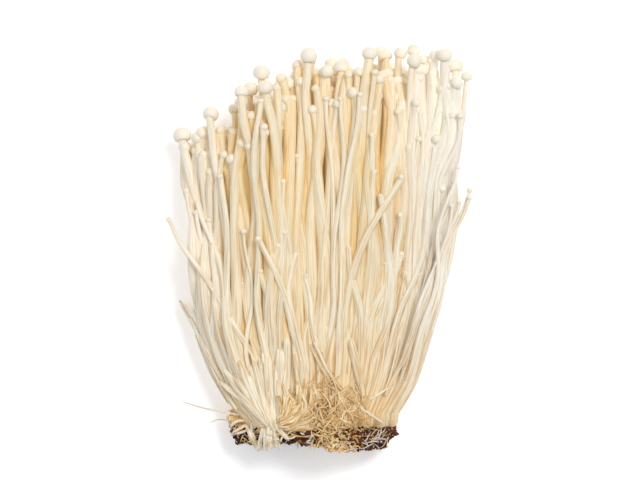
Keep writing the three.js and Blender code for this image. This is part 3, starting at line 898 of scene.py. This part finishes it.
def drape(
    skin, surface, corners, radius, lift=0.0, curl=0.0, sides=5, tone=(0.0, 1.0), flat=0.0, sunk=0.0
):
    """A thread through corners given in plan, laid on the surface below it. Its start may be sunk
    in that surface."""
    corners = np.array(corners, float)
    lengths = np.linalg.norm(np.diff(corners, axis=0), axis=1)
    at = np.concatenate([[0], np.cumsum(lengths)])
    count = max(5, int(at[-1] / THREAD_STEP))
    steps = np.linspace(0, at[-1], count)
    xs = smoothed(np.interp(steps, at, corners[:, 0]), 3)
    ys = smoothed(np.interp(steps, at, corners[:, 1]), 3)
    phase, pace = any_angle(), vary(0.5, 0.9)
    xs = xs + curl * np.sin(pace * steps + phase)
    ys = ys + curl * np.cos(1.3 * pace * steps + phase)
    zs = []
    for x, y in zip(xs, ys):
        below = height_at(surface, x, y)
        zs.append(max(below, zs[-1] - THREAD_FALL) if zs else below)
    for k in range(count - 2, -1, -1):
        zs[k] = max(zs[k], zs[k + 1] - THREAD_FALL)
    high = np.array(zs)
    high = np.maximum(high, smoothed(high, 4)) + radius * 0.6
    high -= sunk * np.clip(1 - np.linspace(0, 5, count), 0, 1)
    high = np.maximum(high + lift * np.sin(np.linspace(0, math.pi, count)), 1.3 * radius)
    radii = [radius * (1 - 0.5 * abs(2 * k / (count - 1) - 1) ** 3) for k in range(count)]
    skin.sweep(np.stack([xs, ys, high], axis=1), radii, sides, vary(*tone), flat=flat)


# ---- Materials ----
def add_node(tree, kind, **values):
    node = tree.nodes.new(kind)
    for name, value in values.items():
        if hasattr(node, name):
            setattr(node, name, value)
        else:
            node.inputs[name.replace("_", " ")].default_value = value
    return node


def fibre_streaks():
    """Fine lines that run along a grain. They give a mask for colour and a height for relief."""
    tree = bpy.data.node_groups.new("fibre_streaks", "ShaderNodeTree")
    for name, kind in (("Grain", "NodeSocketVector"), ("Fineness", "NodeSocketFloat")):
        tree.interface.new_socket(name, in_out="INPUT", socket_type=kind)
    for name in ("Streaks", "Height"):
        tree.interface.new_socket(name, in_out="OUTPUT", socket_type="NodeSocketFloat")
    given, out = add_node(tree, "NodeGroupInput"), add_node(tree, "NodeGroupOutput")
    scaled = add_node(tree, "ShaderNodeVectorMath", operation="SCALE")
    tree.links.new(given.outputs["Grain"], scaled.inputs[0])
    tree.links.new(given.outputs["Fineness"], scaled.inputs["Scale"])
    kinds = (("Streaks", (1, 1, 0.025), 3.0), ("Height", (1.4, 1.4, 0.05), 4.0))
    for name, stretch, detail in kinds:
        long = add_node(tree, "ShaderNodeVectorMath", operation="MULTIPLY")
        long.inputs[1].default_value = stretch
        grain = add_node(tree, "ShaderNodeTexNoise", Scale=1.0, Detail=detail, Roughness=0.55)
        tree.links.new(scaled.outputs[0], long.inputs[0])
        tree.links.new(long.outputs[0], grain.inputs["Vector"])
        tree.links.new(grain.outputs[0], out.inputs[name])
    return tree


STREAKS = fibre_streaks()
WHITE = (1, 1, 1)


class Paint:
    """A node material with a Principled shader, filled in a few steps."""

    def __init__(self, name, **values):
        self.material = bpy.data.materials.new(name)
        self.material.use_nodes = True
        self.tree = self.material.node_tree
        self.shader = self.tree.nodes["Principled BSDF"]
        for socket, value in values.items():
            self.shader.inputs[socket.replace("_", " ")].default_value = value

    def link(self, source, target):
        self.tree.links.new(source, target)

    def attribute(self, name, output="Fac"):
        return add_node(self.tree, "ShaderNodeAttribute", attribute_name=name).outputs[output]

    def streaks(self, fineness):
        group = add_node(self.tree, "ShaderNodeGroup", node_tree=STREAKS)
        group.inputs["Fineness"].default_value = fineness
        self.link(self.attribute("grain", "Vector"), group.inputs["Grain"])
        return group

    def speckle(self, scale):
        place = add_node(self.tree, "ShaderNodeTexCoord")
        specks = add_node(self.tree, "ShaderNodeTexNoise", Scale=scale, Detail=3.0)
        self.link(place.outputs["Object"], specks.inputs["Vector"])
        return specks.outputs[0]

    def along_bunch(self, low, high):
        return self.from_to("Y", low, high)

    def across_bunch(self, low, high):
        return self.from_to("X", low, high)

    def from_to(self, axis, low, high):
        """0 at low and 1 at high, both in millimetres along an axis."""
        place = add_node(self.tree, "ShaderNodeTexCoord")
        apart = add_node(self.tree, "ShaderNodeSeparateXYZ")
        share = add_node(self.tree, "ShaderNodeMapRange", interpolation_type="SMOOTHSTEP")
        share.inputs["From Min"].default_value = low * MM
        share.inputs["From Max"].default_value = high * MM
        self.link(place.outputs["Object"], apart.inputs[0])
        self.link(apart.outputs[axis], share.inputs["Value"])
        return share.outputs["Result"]

    def ramp(self, value, stops):
        ramp = add_node(self.tree, "ShaderNodeValToRGB")
        for i, (place, colour) in enumerate(stops):
            if i < 2:
                stop = ramp.color_ramp.elements[i]
                stop.position = place
            else:
                stop = ramp.color_ramp.elements.new(place)
            stop.color = (*colour, 1)
        self.link(value, ramp.inputs[0])
        return ramp.outputs["Color"]

    def mix(self, share, a, b, blend="MIX"):
        mix = add_node(self.tree, "ShaderNodeMix", data_type="RGBA", blend_type=blend)
        for socket, value in ((mix.inputs[0], share), (mix.inputs[6], a), (mix.inputs[7], b)):
            if isinstance(value, (float, tuple)):
                socket.default_value = (*value, 1) if isinstance(value, tuple) else value
            else:
                self.link(value, socket)
        return mix.outputs[2]

    def times(self, a, b):
        return self.reckon("MULTIPLY", a, b)

    def reckon(self, operation, a, b):
        node = add_node(self.tree, "ShaderNodeMath", operation=operation)
        for socket, value in ((node.inputs[0], a), (node.inputs[1], b)):
            if isinstance(value, float):
                socket.default_value = value
            else:
                self.link(value, socket)
        return node.outputs[0]

    def relief(self, height, strength, depth):
        bump = add_node(self.tree, "ShaderNodeBump", Strength=strength, Distance=depth * MM)
        self.link(height, bump.inputs["Height"])
        self.link(bump.outputs[0], self.shader.inputs["Normal"])


def mushroom_flesh():
    """Cream stems with painted shade, darker amber, and a faint painted glow where they lie deep in
    the bunch, paler along both sides, tan towards the root, with fine lines that deepen downwards
    and plain domes."""
    # The emission is a painted glow, which the stems' depth in the bunch feeds below.
    paint = Paint("mushroom_flesh", Roughness=0.45, IOR=1.4, Emission_Strength=0.11)
    streaks, tone, cap = paint.streaks(2.0), paint.attribute("tone"), paint.attribute("cap")
    # Low tones are darker amber; besides random tone from stem to stem, they carry the painted
    # shade of the heart and the deeper crowds.
    stem = paint.ramp(
        tone, [(0, (0.93, 0.75, 0.47)), (1, (0.95, 0.87, 0.7)), (0.5, (0.94, 0.82, 0.6))]
    )
    rooted = paint.times(paint.along_bunch(-20, -72), paint.across_bunch(-14, -2))
    stem = paint.mix(rooted, stem, (0.88, 0.66, 0.36))
    # Painted shade: stems that lie deep in the bunch are darkened towards amber, less so near the
    # caps.
    below_caps = paint.ramp(paint.along_bunch(25, 60), [(0, WHITE), (1, (0.45, 0.45, 0.45))])
    painted_shade_depth = paint.attribute("painted_shade_depth")
    painted_hollow_shade = paint.mix(paint.times(painted_shade_depth, below_caps), WHITE, (0.91, 0.79, 0.54))
    stem = paint.mix(1.0, stem, painted_hollow_shade, "MULTIPLY")
    right = paint.times(paint.across_bunch(18, 46), 0.9)
    left = paint.times(paint.across_bunch(-28, -50), 0.8)
    # Painted glow: stems deep in the bunch give off a faint amber light, paler on the right side,
    # which lifts their shade.
    through = paint.mix(right, (0.6, 0.42, 0.18), (1.1, 1.0, 0.82))
    paint.link(paint.mix(painted_shade_depth, (0, 0, 0), through), paint.shader.inputs["Emission Color"])
    stem = paint.mix(right, stem, (0.97, 0.92, 0.82))
    stem = paint.mix(left, stem, (0.95, 0.89, 0.77))
    bleached = paint.times(paint.along_bunch(-64, -69), paint.across_bunch(-12, -22))
    stem = paint.mix(paint.times(bleached, 0.7), stem, (0.97, 0.93, 0.83))
    lines = paint.ramp(streaks.outputs["Streaks"], [(0.36, (0.74, 0.55, 0.33)), (0.53, WHITE)])
    fibrous = paint.ramp(
        paint.along_bunch(40, -50), [(0, (0.3, 0.3, 0.3)), (1, (0.95, 0.95, 0.95))]
    )
    stem = paint.mix(fibrous, stem, lines, "MULTIPLY")
    dome = paint.ramp(tone, [(0, (0.84, 0.75, 0.61)), (1, (0.88, 0.82, 0.71))])
    paint.link(paint.mix(cap, stem, dome), paint.shader.inputs["Base Color"])
    bare = paint.reckon("SUBTRACT", 1.0, cap)
    paint.relief(paint.times(streaks.outputs["Height"], bare), 0.9, 0.6)
    return paint.material


def streaked(paint, fineness, tones, lines, share, strength, depth):
    """Colours a paint by tone, and gives it lines and relief along the grain."""
    streaks = paint.streaks(fineness)
    plain = paint.ramp(paint.attribute("tone"), tones)
    lines = paint.ramp(streaks.outputs["Streaks"], lines)
    paint.link(paint.mix(share, plain, lines, "MULTIPLY"), paint.shader.inputs["Base Color"])
    paint.relief(streaks.outputs["Height"], strength, depth)
    return paint.material


def root_fibre():
    # The emission is a painted glow, which lifts the shade among the fibres to gold.
    paint = Paint(
        "root_fibre",
        Roughness=0.75,
        Specular_IOR_Level=0.3,
        Emission_Color=(1.0, 0.55, 0.15, 1.0),
        Emission_Strength=0.045,
    )
    tones = [(0, (0.84, 0.52, 0.2)), (1, (0.97, 0.88, 0.62)), (0.5, (0.94, 0.74, 0.43))]
    lines = [(0.38, (0.58, 0.36, 0.15)), (0.56, WHITE)]
    return streaked(paint, 2.2, tones, lines, 0.85, 0.7, 1.0)


def mycelium():
    tones = [(0, (0.62, 0.52, 0.44)), (1, (0.95, 0.88, 0.7))]
    lines = [(0.35, (0.8, 0.74, 0.66)), (0.6, WHITE)]
    return streaked(Paint("mycelium", Roughness=0.8), 3.0, tones, lines, 0.5, 0.4, 0.4)


def growing_substrate():
    paint = Paint("growing_substrate", Roughness=0.85, Specular_IOR_Level=0.2)
    chips = paint.ramp(paint.attribute("tone"), [
        (0, (0.02, 0.006, 0.003)), (1, (0.98, 0.88, 0.79)), (0.3, (0.15, 0.06, 0.035)),
        (0.5, (0.6, 0.28, 0.07)), (0.7, (0.92, 0.6, 0.17)), (0.88, (0.97, 0.79, 0.38)),
    ])
    dust = paint.ramp(paint.speckle(900), [(0.35, (0.62, 0.5, 0.42)), (0.62, WHITE)])
    paint.link(paint.mix(0.85, chips, dust, "MULTIPLY"), paint.shader.inputs["Base Color"])
    paint.relief(paint.speckle(1400), 0.6, 0.6)
    return paint.material


def floor_paper():
    paint = Paint(
        "floor_paper", Roughness=0.9, Emission_Color=(0.97, 0.98, 1, 1), Emission_Strength=0.28
    )
    grain = paint.ramp(paint.speckle(30), [(0, (0.93, 0.93, 0.94)), (1, (0.95, 0.95, 0.955))])
    paint.link(grain, paint.shader.inputs["Base Color"])
    return paint.material


FLESH, FIBRE, MYCELIUM = mushroom_flesh(), root_fibre(), mycelium()
SUBSTRATE = growing_substrate()


# ---- Pieces ----
def place(skin, name, material, slot, *nodes):
    """Makes a piece of a skin, which stands in for the nodes of the part that are named."""
    piece = skin.mesh(name, material)
    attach(piece, "root")
    if nodes:
        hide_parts(*nodes)


tuft_skins = []
for foot in under_feet + upper_feet:
    tuft = Skin()
    for m in foot.members:
        add_mushroom(tuft, m)
    add_foot_fibres(tuft, foot)
    place(tuft, f"{foot.name}_mushrooms", FLESH, "flesh", foot.name)
    tuft_skins.append(tuft)

heart = Skin()
for m in heart_members:
    add_mushroom(heart, m, plain=True)
place(heart, "heart_mushrooms", FLESH, "flesh", "heart_tuft")

felt = Skin()
add_root_body(felt, crust_border, lambda angle: FOOT_Y + 1 + math.sin(7 * angle), 1.2, 0.4)
add_root_threads(felt, FELT_FIBRES, CRUST_TOP_Y - 0.5, FOOT_Y - 3, (0.15, 0.35), 1.0, 0.8)
place(felt, "root_mat_felt", FIBRE, "root_mat", "root_mat")

block = Skin()
crust_end, crust_top = lambda angle: ROOT_Y + 0.9, lambda angle: crust_border(angle) - SEAM
add_root_body(block, crust_end, crust_top, 1.6, 0.25, 1.0)
place(block, "substrate_block", SUBSTRATE, "substrate", "substrate_crust")


def crumb_tone(x, y=-70.0):
    """Dark at the sides, golden and orange-brown in the middle, with pale crumbs at its end."""
    middle = bump(x, 5, 11)
    if vary() < 0.04 + 0.4 * bump(x, 9, 7) * bump(y, -75, 5):
        return vary(0.93, 1)
    higher = 0.1 * clamp((y + 71) / 4, 0, 1) * middle
    return clamp(vary(0.0, 0.26) + middle * vary(0.35, 1.0) + higher, 0, 0.92)


def on_crust(x, y):
    return y > ROOT_Y + fringe(x)


def mat_height(x, y):
    angle = math.acos(clamp((x - ROOT_MIDDLE) / ROOT_HALF_WIDTH, -1, 1))
    return root_point(angle, y, 1)[2]


crumbs = Skin()
for _ in range(CRUST_CRUMBS):
    angle, y = vary(0, 2 * math.pi), vary(ROOT_Y + 0.5, CRUST_TOP_Y + 1)
    x, y, z = root_point(angle, y, vary(0.97, 1.01))
    if on_crust(x, y):
        add_crumb(crumbs, (x, y, z), vary(0.3, 0.9), crumb_tone(x))
for _ in range(SHOULDER_CRUMBS):
    # dark ones over the crust's right shoulder
    angle, y = vary(0.25, 1.45), vary(ROOT_Y + 0.5, CRUST_TOP_Y + 0.6)
    x, y, z = root_point(angle, y, vary(0.98, 1.02))
    if on_crust(x, y):
        add_crumb(crumbs, (x, y, z), vary(0.3, 0.8), vary(0.0, 0.38))
for _ in range(END_CRUMBS):
    angle, size = vary(0, 2 * math.pi), math.sqrt(vary()) * 0.95
    x, y, z = root_point(angle, ROOT_Y + 0.9 + vary(-0.5, 0.3), size)
    add_crumb(crumbs, (x, y + fringe(x), z), vary(0.35, 1.0), crumb_tone(x))
for _ in range(CLUMP_CRUMBS):
    # the clump that has come up over the mat in the middle
    x, y = 6 + vary(-9, 8) * vary(0.3, 1), vary(-75.4, -58)
    skipped = y > CRUST_Y and vary() < 0.6
    if on_crust(x, y) and not skipped:
        z = mat_height(x, y) + 2.0 * bump(x, 5, 8)
        size = vary(0.25, 0.8) * (1 if y < -66 else 0.7)
        add_crumb(crumbs, (x, y, z + vary(-1.0, 0.7)), size, crumb_tone(x, y))
for _ in range(CLUMP_END_CRUMBS):
    # pale and dark ones on the clump's end
    x, y, pale = vary(0, 14), vary(-75, -69), vary() < 0.6
    if on_crust(x, y):
        z = mat_height(x, y) + 1.6 * bump(x, 6, 7) + vary(0, 0.8)
        add_crumb(crumbs, (x, y, z), vary(0.2, 0.5), vary(0.95, 1) if pale else vary(0, 0.3))
place(crumbs, "substrate_crumbs", SUBSTRATE, "substrate")

surface = surface_below(felt, block, crumbs, *tuft_skins)


def add_fused_foot(skin, stations):
    """A flat ridged foot, into which the stems of a tuft have grown together."""
    rings, last = [], 0.0
    angles = np.arange(FOOT_SIDES) * 2 * math.pi / FOOT_SIDES
    for n, (x, y, wide, high) in enumerate(stations):
        below = [height_at(surface, x + d * wide, y) for d in (-0.6, 0, 0.6)]
        last = max(last - THREAD_FALL, *below)
        z = max(last + between(-1.3, 0.3, eased((-57 - y) / 9)) * high, high + 0.3)
        ridges = 1 + 0.1 * np.cos(9 * angles + 0.1 * n) + 0.07 * np.cos(16 * angles - 0.07 * n)
        rings.append(np.stack([
            x + wide * ridges * np.cos(angles),
            y + 0.3 * np.cos(3 * angles),
            z + high * ridges * np.sin(angles),
        ], axis=1))
    rings = np.array(rings)
    for _ in range(2):
        rings[1:-1, :, 2] = (rings[:-2, :, 2] + 2 * rings[1:-1, :, 2] + rings[2:, :, 2]) / 4
    grain = np.stack([
        np.broadcast_to(2.5 * np.cos(angles), rings.shape[:2]),
        np.broadcast_to(2.5 * np.sin(angles), rings.shape[:2]),
        rings[..., 1],
    ], axis=-1)
    skin.rings(rings, rings[0].mean(0), rings[-1].mean(0), 0.45, grain=grain)


def between_stations(stations, steps):
    """The same stations with more of them, evenly spaced."""
    given = range(len(stations))
    at = np.linspace(0, given[-1], steps)
    return np.array([smoothed(np.interp(at, given, column), 3) for column in zip(*stations)]).T


strands = Skin()
add_fused_foot(strands, between_stations([
    (-17.2, -57, 1.0, 0.7), (-17.6, -60, 3.4, 1.6), (-18.0, -63, 3.2, 1.9),
    (-18.6, -65.6, 2.7, 1.7), (-18.9, -67.8, 2.8, 1.6), (-18.8, -70.2, 2.6, 1.4),
    (-18.5, -72.2, 2.1, 1.1), (-18.3, -73.6, 1.4, 0.7),
], 36))
surface = surface_below(felt, block, crumbs, strands, *tuft_skins)
for k in range(JOINED_STEMS):
    # stems of the left side that run together into the foot
    t = (k + vary(-0.4, 0.4)) / (JOINED_STEMS - 1)
    corners = [
        (between(-37.5, -12, t), -45 + 12 * t + vary(-5, 4)),
        (between(-27, -14.4, t), -56.5),
        (between(-20.4, -15.6, t), -64.2 - vary(0, 2.6)),
    ]
    drape(strands, surface, corners, vary(0.7, 1.25), sides=10, tone=(0.55, 1), flat=0.3, sunk=3)
for k in range(PARTED_STRANDS):
    # and part again below it
    t = k / (PARTED_STRANDS - 1)
    x, y, aside = between(-21, -16.5, t), vary(-65.4, -63.5), between(-0.35, 0.3, t)
    aside += vary(-0.25, 0.25)
    corners = [(x, y), (x + 2 * aside, y - 4), (x + 5 * aside, -74.6 + vary(-1, 2))]
    drape(strands, surface, corners, vary(0.45, 0.75), sides=8, tone=(0.4, 1), flat=0.3)
for radius, corners in [
    (0.5, [(-6, -30), (-3, -36), (0.4, -43), (6, -52), (12.5, -56)]),
    (0.6, [(-4, -30), (-0.7, -37), (2.2, -43.7), (7.4, -51), (11.8, -55)]),
    (1.2, [(10.7, -30), (12.2, -37), (13.7, -43.3), (15.2, -50), (16.3, -54.4)]),
    (1.2, [(-12.2, -28), (-12.2, -37), (-12.4, -48), (-12.6, -58)]),
    # loose ones along both sides
    (0.7, [(-52.5, -19), (-46.3, -29.6), (-39.5, -42.6), (-33, -53.7)]),
    (0.8, [(-48.1, -25.2), (-43, -37), (-37, -50), (-31, -59.2)]),
    (0.7, [(-46.5, -31.5), (-41, -45.1), (-34.3, -57.4)]),
    (0.6, [(48.8, -4.4), (44.2, -18.5), (40.5, -33.3), (33.3, -50)]),
    (0.8, [(47, -14.8), (42.2, -29.6), (37.5, -41.4), (30, -54)]),
    (0.6, [(45.5, -20), (43, -29), (39.6, -37), (35, -45)]),
    # strands below the left foot
    (0.8, [(-27.8, -64.8), (-25.5, -68.5), (-23, -72), (-21, -74.4)]),
    (0.9, [(-26.6, -66.2), (-25.4, -69.3), (-24, -72.3), (-22.8, -74.8)]),
    (0.75, [(-17, -64), (-15.2, -66.5), (-13.2, -68.8), (-11.5, -70.3)]),
    (0.5, [(-28, -63.5), (-30.5, -63.2), (-32.5, -64.4), (-33.4, -66)]),
    (0.5, [(-27.5, -65), (-30, -66.6), (-32.4, -67.8)]),
    (0.45, [(-27, -67), (-29.4, -68), (-31.8, -68.4)]),
    (0.5, [(-26, -63), (-25, -67), (-26.4, -70.5)]),
]:
    start_x, start_y = corners[0]
    if start_x > 40:
        corners = [(gathered(x, y) - 1.5, y) for x, y in corners]
    sunk = 4 if start_y > -50 and abs(start_x) < 20 else 0
    drape(strands, surface, corners, radius, sides=8, tone=(0.8, 1), flat=0.3, sunk=sunk)
place(strands, "loose_stems", FLESH, "flesh")

surface = surface_below(felt, block, crumbs, strands, *tuft_skins[UNDER_FEET:])
fibres = Skin()
for _ in range(FAN_RIBBONS):
    # pale ribbons that fan out from the end of the left foot over the mat
    heading, bend = 1.15 * vary() ** 1.2 - 0.25, vary(0.1, 0.55)
    near, far = vary(2.5, 7), vary(10, 17)
    corners = bent(LEFT_FOOT_X, -65.5, heading, bend, far, near, (0, 0.4, 0.7, 1))
    drape(fibres, surface, corners, vary(0.25, 0.55), vary(0, 1.0), 0.25, 8, (0.5, 1), 0.4)
for _ in range(UPRIGHT_RIBBONS):
    # ribbons that stand up along the stems beside them
    x, y, heading = vary(-10, 0), vary(-60, -55), vary(1.1, 1.9)
    far, bend = vary(4, 8), vary(-0.4, 0.4)
    corners = bent(x, y, heading, bend, far, stops=(0, 0.33, 0.66, 1))
    drape(fibres, surface, corners, vary(0.3, 0.6), vary(0, 0.6), 0.2, 6, (0.6, 1), 0.4)
for _ in range(TANGLED_FIBRES):
    # fine tangled fibres between the stems and the crust
    x, y, heading = vary(-8, 15), vary(-64, -56) + 14 * vary() ** 3, vary(-2.8, -0.3)
    far, turn = vary(4, 11), vary(-1.8, 1.8)
    corners = []
    for _ in range(5):
        corners.append((x, y))
        x, y = x + far / 4 * math.cos(heading), max(y + far / 4 * math.sin(heading), -65 - vary())
        heading += turn / 4
    drape(fibres, surface, corners, vary(0.14, 0.36), vary(0, 0.5), 0.4, 5, (0.35, 0.9))
for _ in range(CURLY_FIBRES):
    # golden curly ones in the clump
    x, y, heading = vary(-2, 12), vary(-73, -62), any_angle()
    far, turn = vary(1.5, 4), vary(-2, 2)
    corners = bent(x, y, heading, turn, far)
    drape(fibres, surface, corners, vary(0.15, 0.35), vary(0, 0.8), 0.3, 5, (0.1, 0.9))
for _ in range(SIDE_FIBRES):
    # fibres that hang over the crust at both sides
    x, y, heading = vary(-30, 26), vary(-71, -65), any_angle()
    if not -14 < x < 16:
        corners = bent(x, y, heading, 1, vary(1.5, 4))
        drape(fibres, surface, corners, vary(0.12, 0.3), vary(0, 0.5), 0.3, 4, (0, 0.8))
place(fibres, "root_fibres", FIBRE, "root_mat")

threads = Skin()
for radius, corners in [
    (0.4, [(-51.8, -56.6), (-44.4, -58.8), (-36.3, -60.3), (-30, -61.4)]),
    (0.2, [(-41, -64.8), (-39.6, -63.6), (-37.7, -63.3), (-34.4, -64)]),
    (0.45, [(12.6, -57), (16.3, -59.2), (20, -61.8), (23.7, -64.4)]),
    (0.45, [(18.5, -55.5), (20.7, -54), (23.3, -52.5), (25.2, -51)]),
]:
    drape(threads, surface, corners, radius, tone=(0.8, 1))
for _ in range(GREY_THREADS):
    # grey threads that hang from the crust's right end
    x, y, heading = vary(14, 22), vary(-74, -69), vary(-0.7, 0.7)
    far, bend = vary(3, 7), vary(-1, 1)
    corners = bent(x, y, heading, bend, far, stops=(0, 0.3, 0.6, 1))
    drape(threads, surface, corners, vary(0.15, 0.3), vary(0, 0.6), 0.2, 5, (0, 0.5))
for _ in range(NOTCH_THREADS):
    # short curly threads along the notch
    x, y, heading = vary(-15, 0), vary(-72, -66), any_angle()
    corners = bent(x, y, heading, 1, vary(1.5, 4))
    drape(threads, surface, corners, vary(0.2, 0.45), vary(0, 0.6), 0.2, 5, (0.5, 1))
add_root_threads(threads, CRUST_THREADS, ROOT_Y + 3, CRUST_TOP_Y + 1, (0.15, 0.3), 1.6, 1.0)
place(threads, "mycelium_threads", MYCELIUM, "root_mat")

# ---- Floor, light and camera ----
bpy.ops.mesh.primitive_plane_add(size=8)
floor = bpy.context.object
floor.name = "floor"
floor.data.materials.append(floor_paper())


def add_light(name, spot, size, power, colour):
    light = bpy.data.lights.new(name, "AREA")
    light.size, light.energy, light.color = size, power, colour
    lamp = bpy.data.objects.new(name, light)
    lamp.location = spot
    lamp.rotation_mode = "QUATERNION"
    lamp.rotation_quaternion = (-Vector(spot)).to_track_quat("-Z", "Y")
    bpy.context.scene.collection.objects.link(lamp)


add_light("key_light", (0.75, 0.8, 2.0), 0.7, 26, (1, 0.99, 0.97))
add_light("fill_light", (-1.4, 0.2, 1.6), 1.6, 4.3, (0.98, 0.985, 1))

world = bpy.data.worlds.new("studio")
world.use_nodes = True
sky = world.node_tree
sky.nodes["Background"].inputs["Color"].default_value = (1, 1, 1, 1)
place_in_sky, parts = add_node(sky, "ShaderNodeTexCoord"), add_node(sky, "ShaderNodeSeparateXYZ")
ceiling = add_node(sky, "ShaderNodeMapRange")
ceiling.inputs["From Min"].default_value = 0.0
ceiling.inputs["To Min"].default_value = 0.3
ceiling.inputs["To Max"].default_value = 0.72
sky.links.new(place_in_sky.outputs["Generated"], parts.inputs[0])
sky.links.new(parts.outputs["Z"], ceiling.inputs["Value"])
sky.links.new(ceiling.outputs["Result"], sky.nodes["Background"].inputs["Strength"])
bpy.context.scene.world = world
bpy.context.scene.view_settings.view_transform = "Standard"

lens = bpy.data.cameras.new("camera")
lens.lens, lens.sensor_width = 300, 36
lens.clip_end = 10
lens.dof.use_dof = False
camera = bpy.data.objects.new("camera", lens)
camera.location = (-0.0009, 0.0032, 2.0)
bpy.context.scene.collection.objects.link(camera)
bpy.context.scene.camera = camera
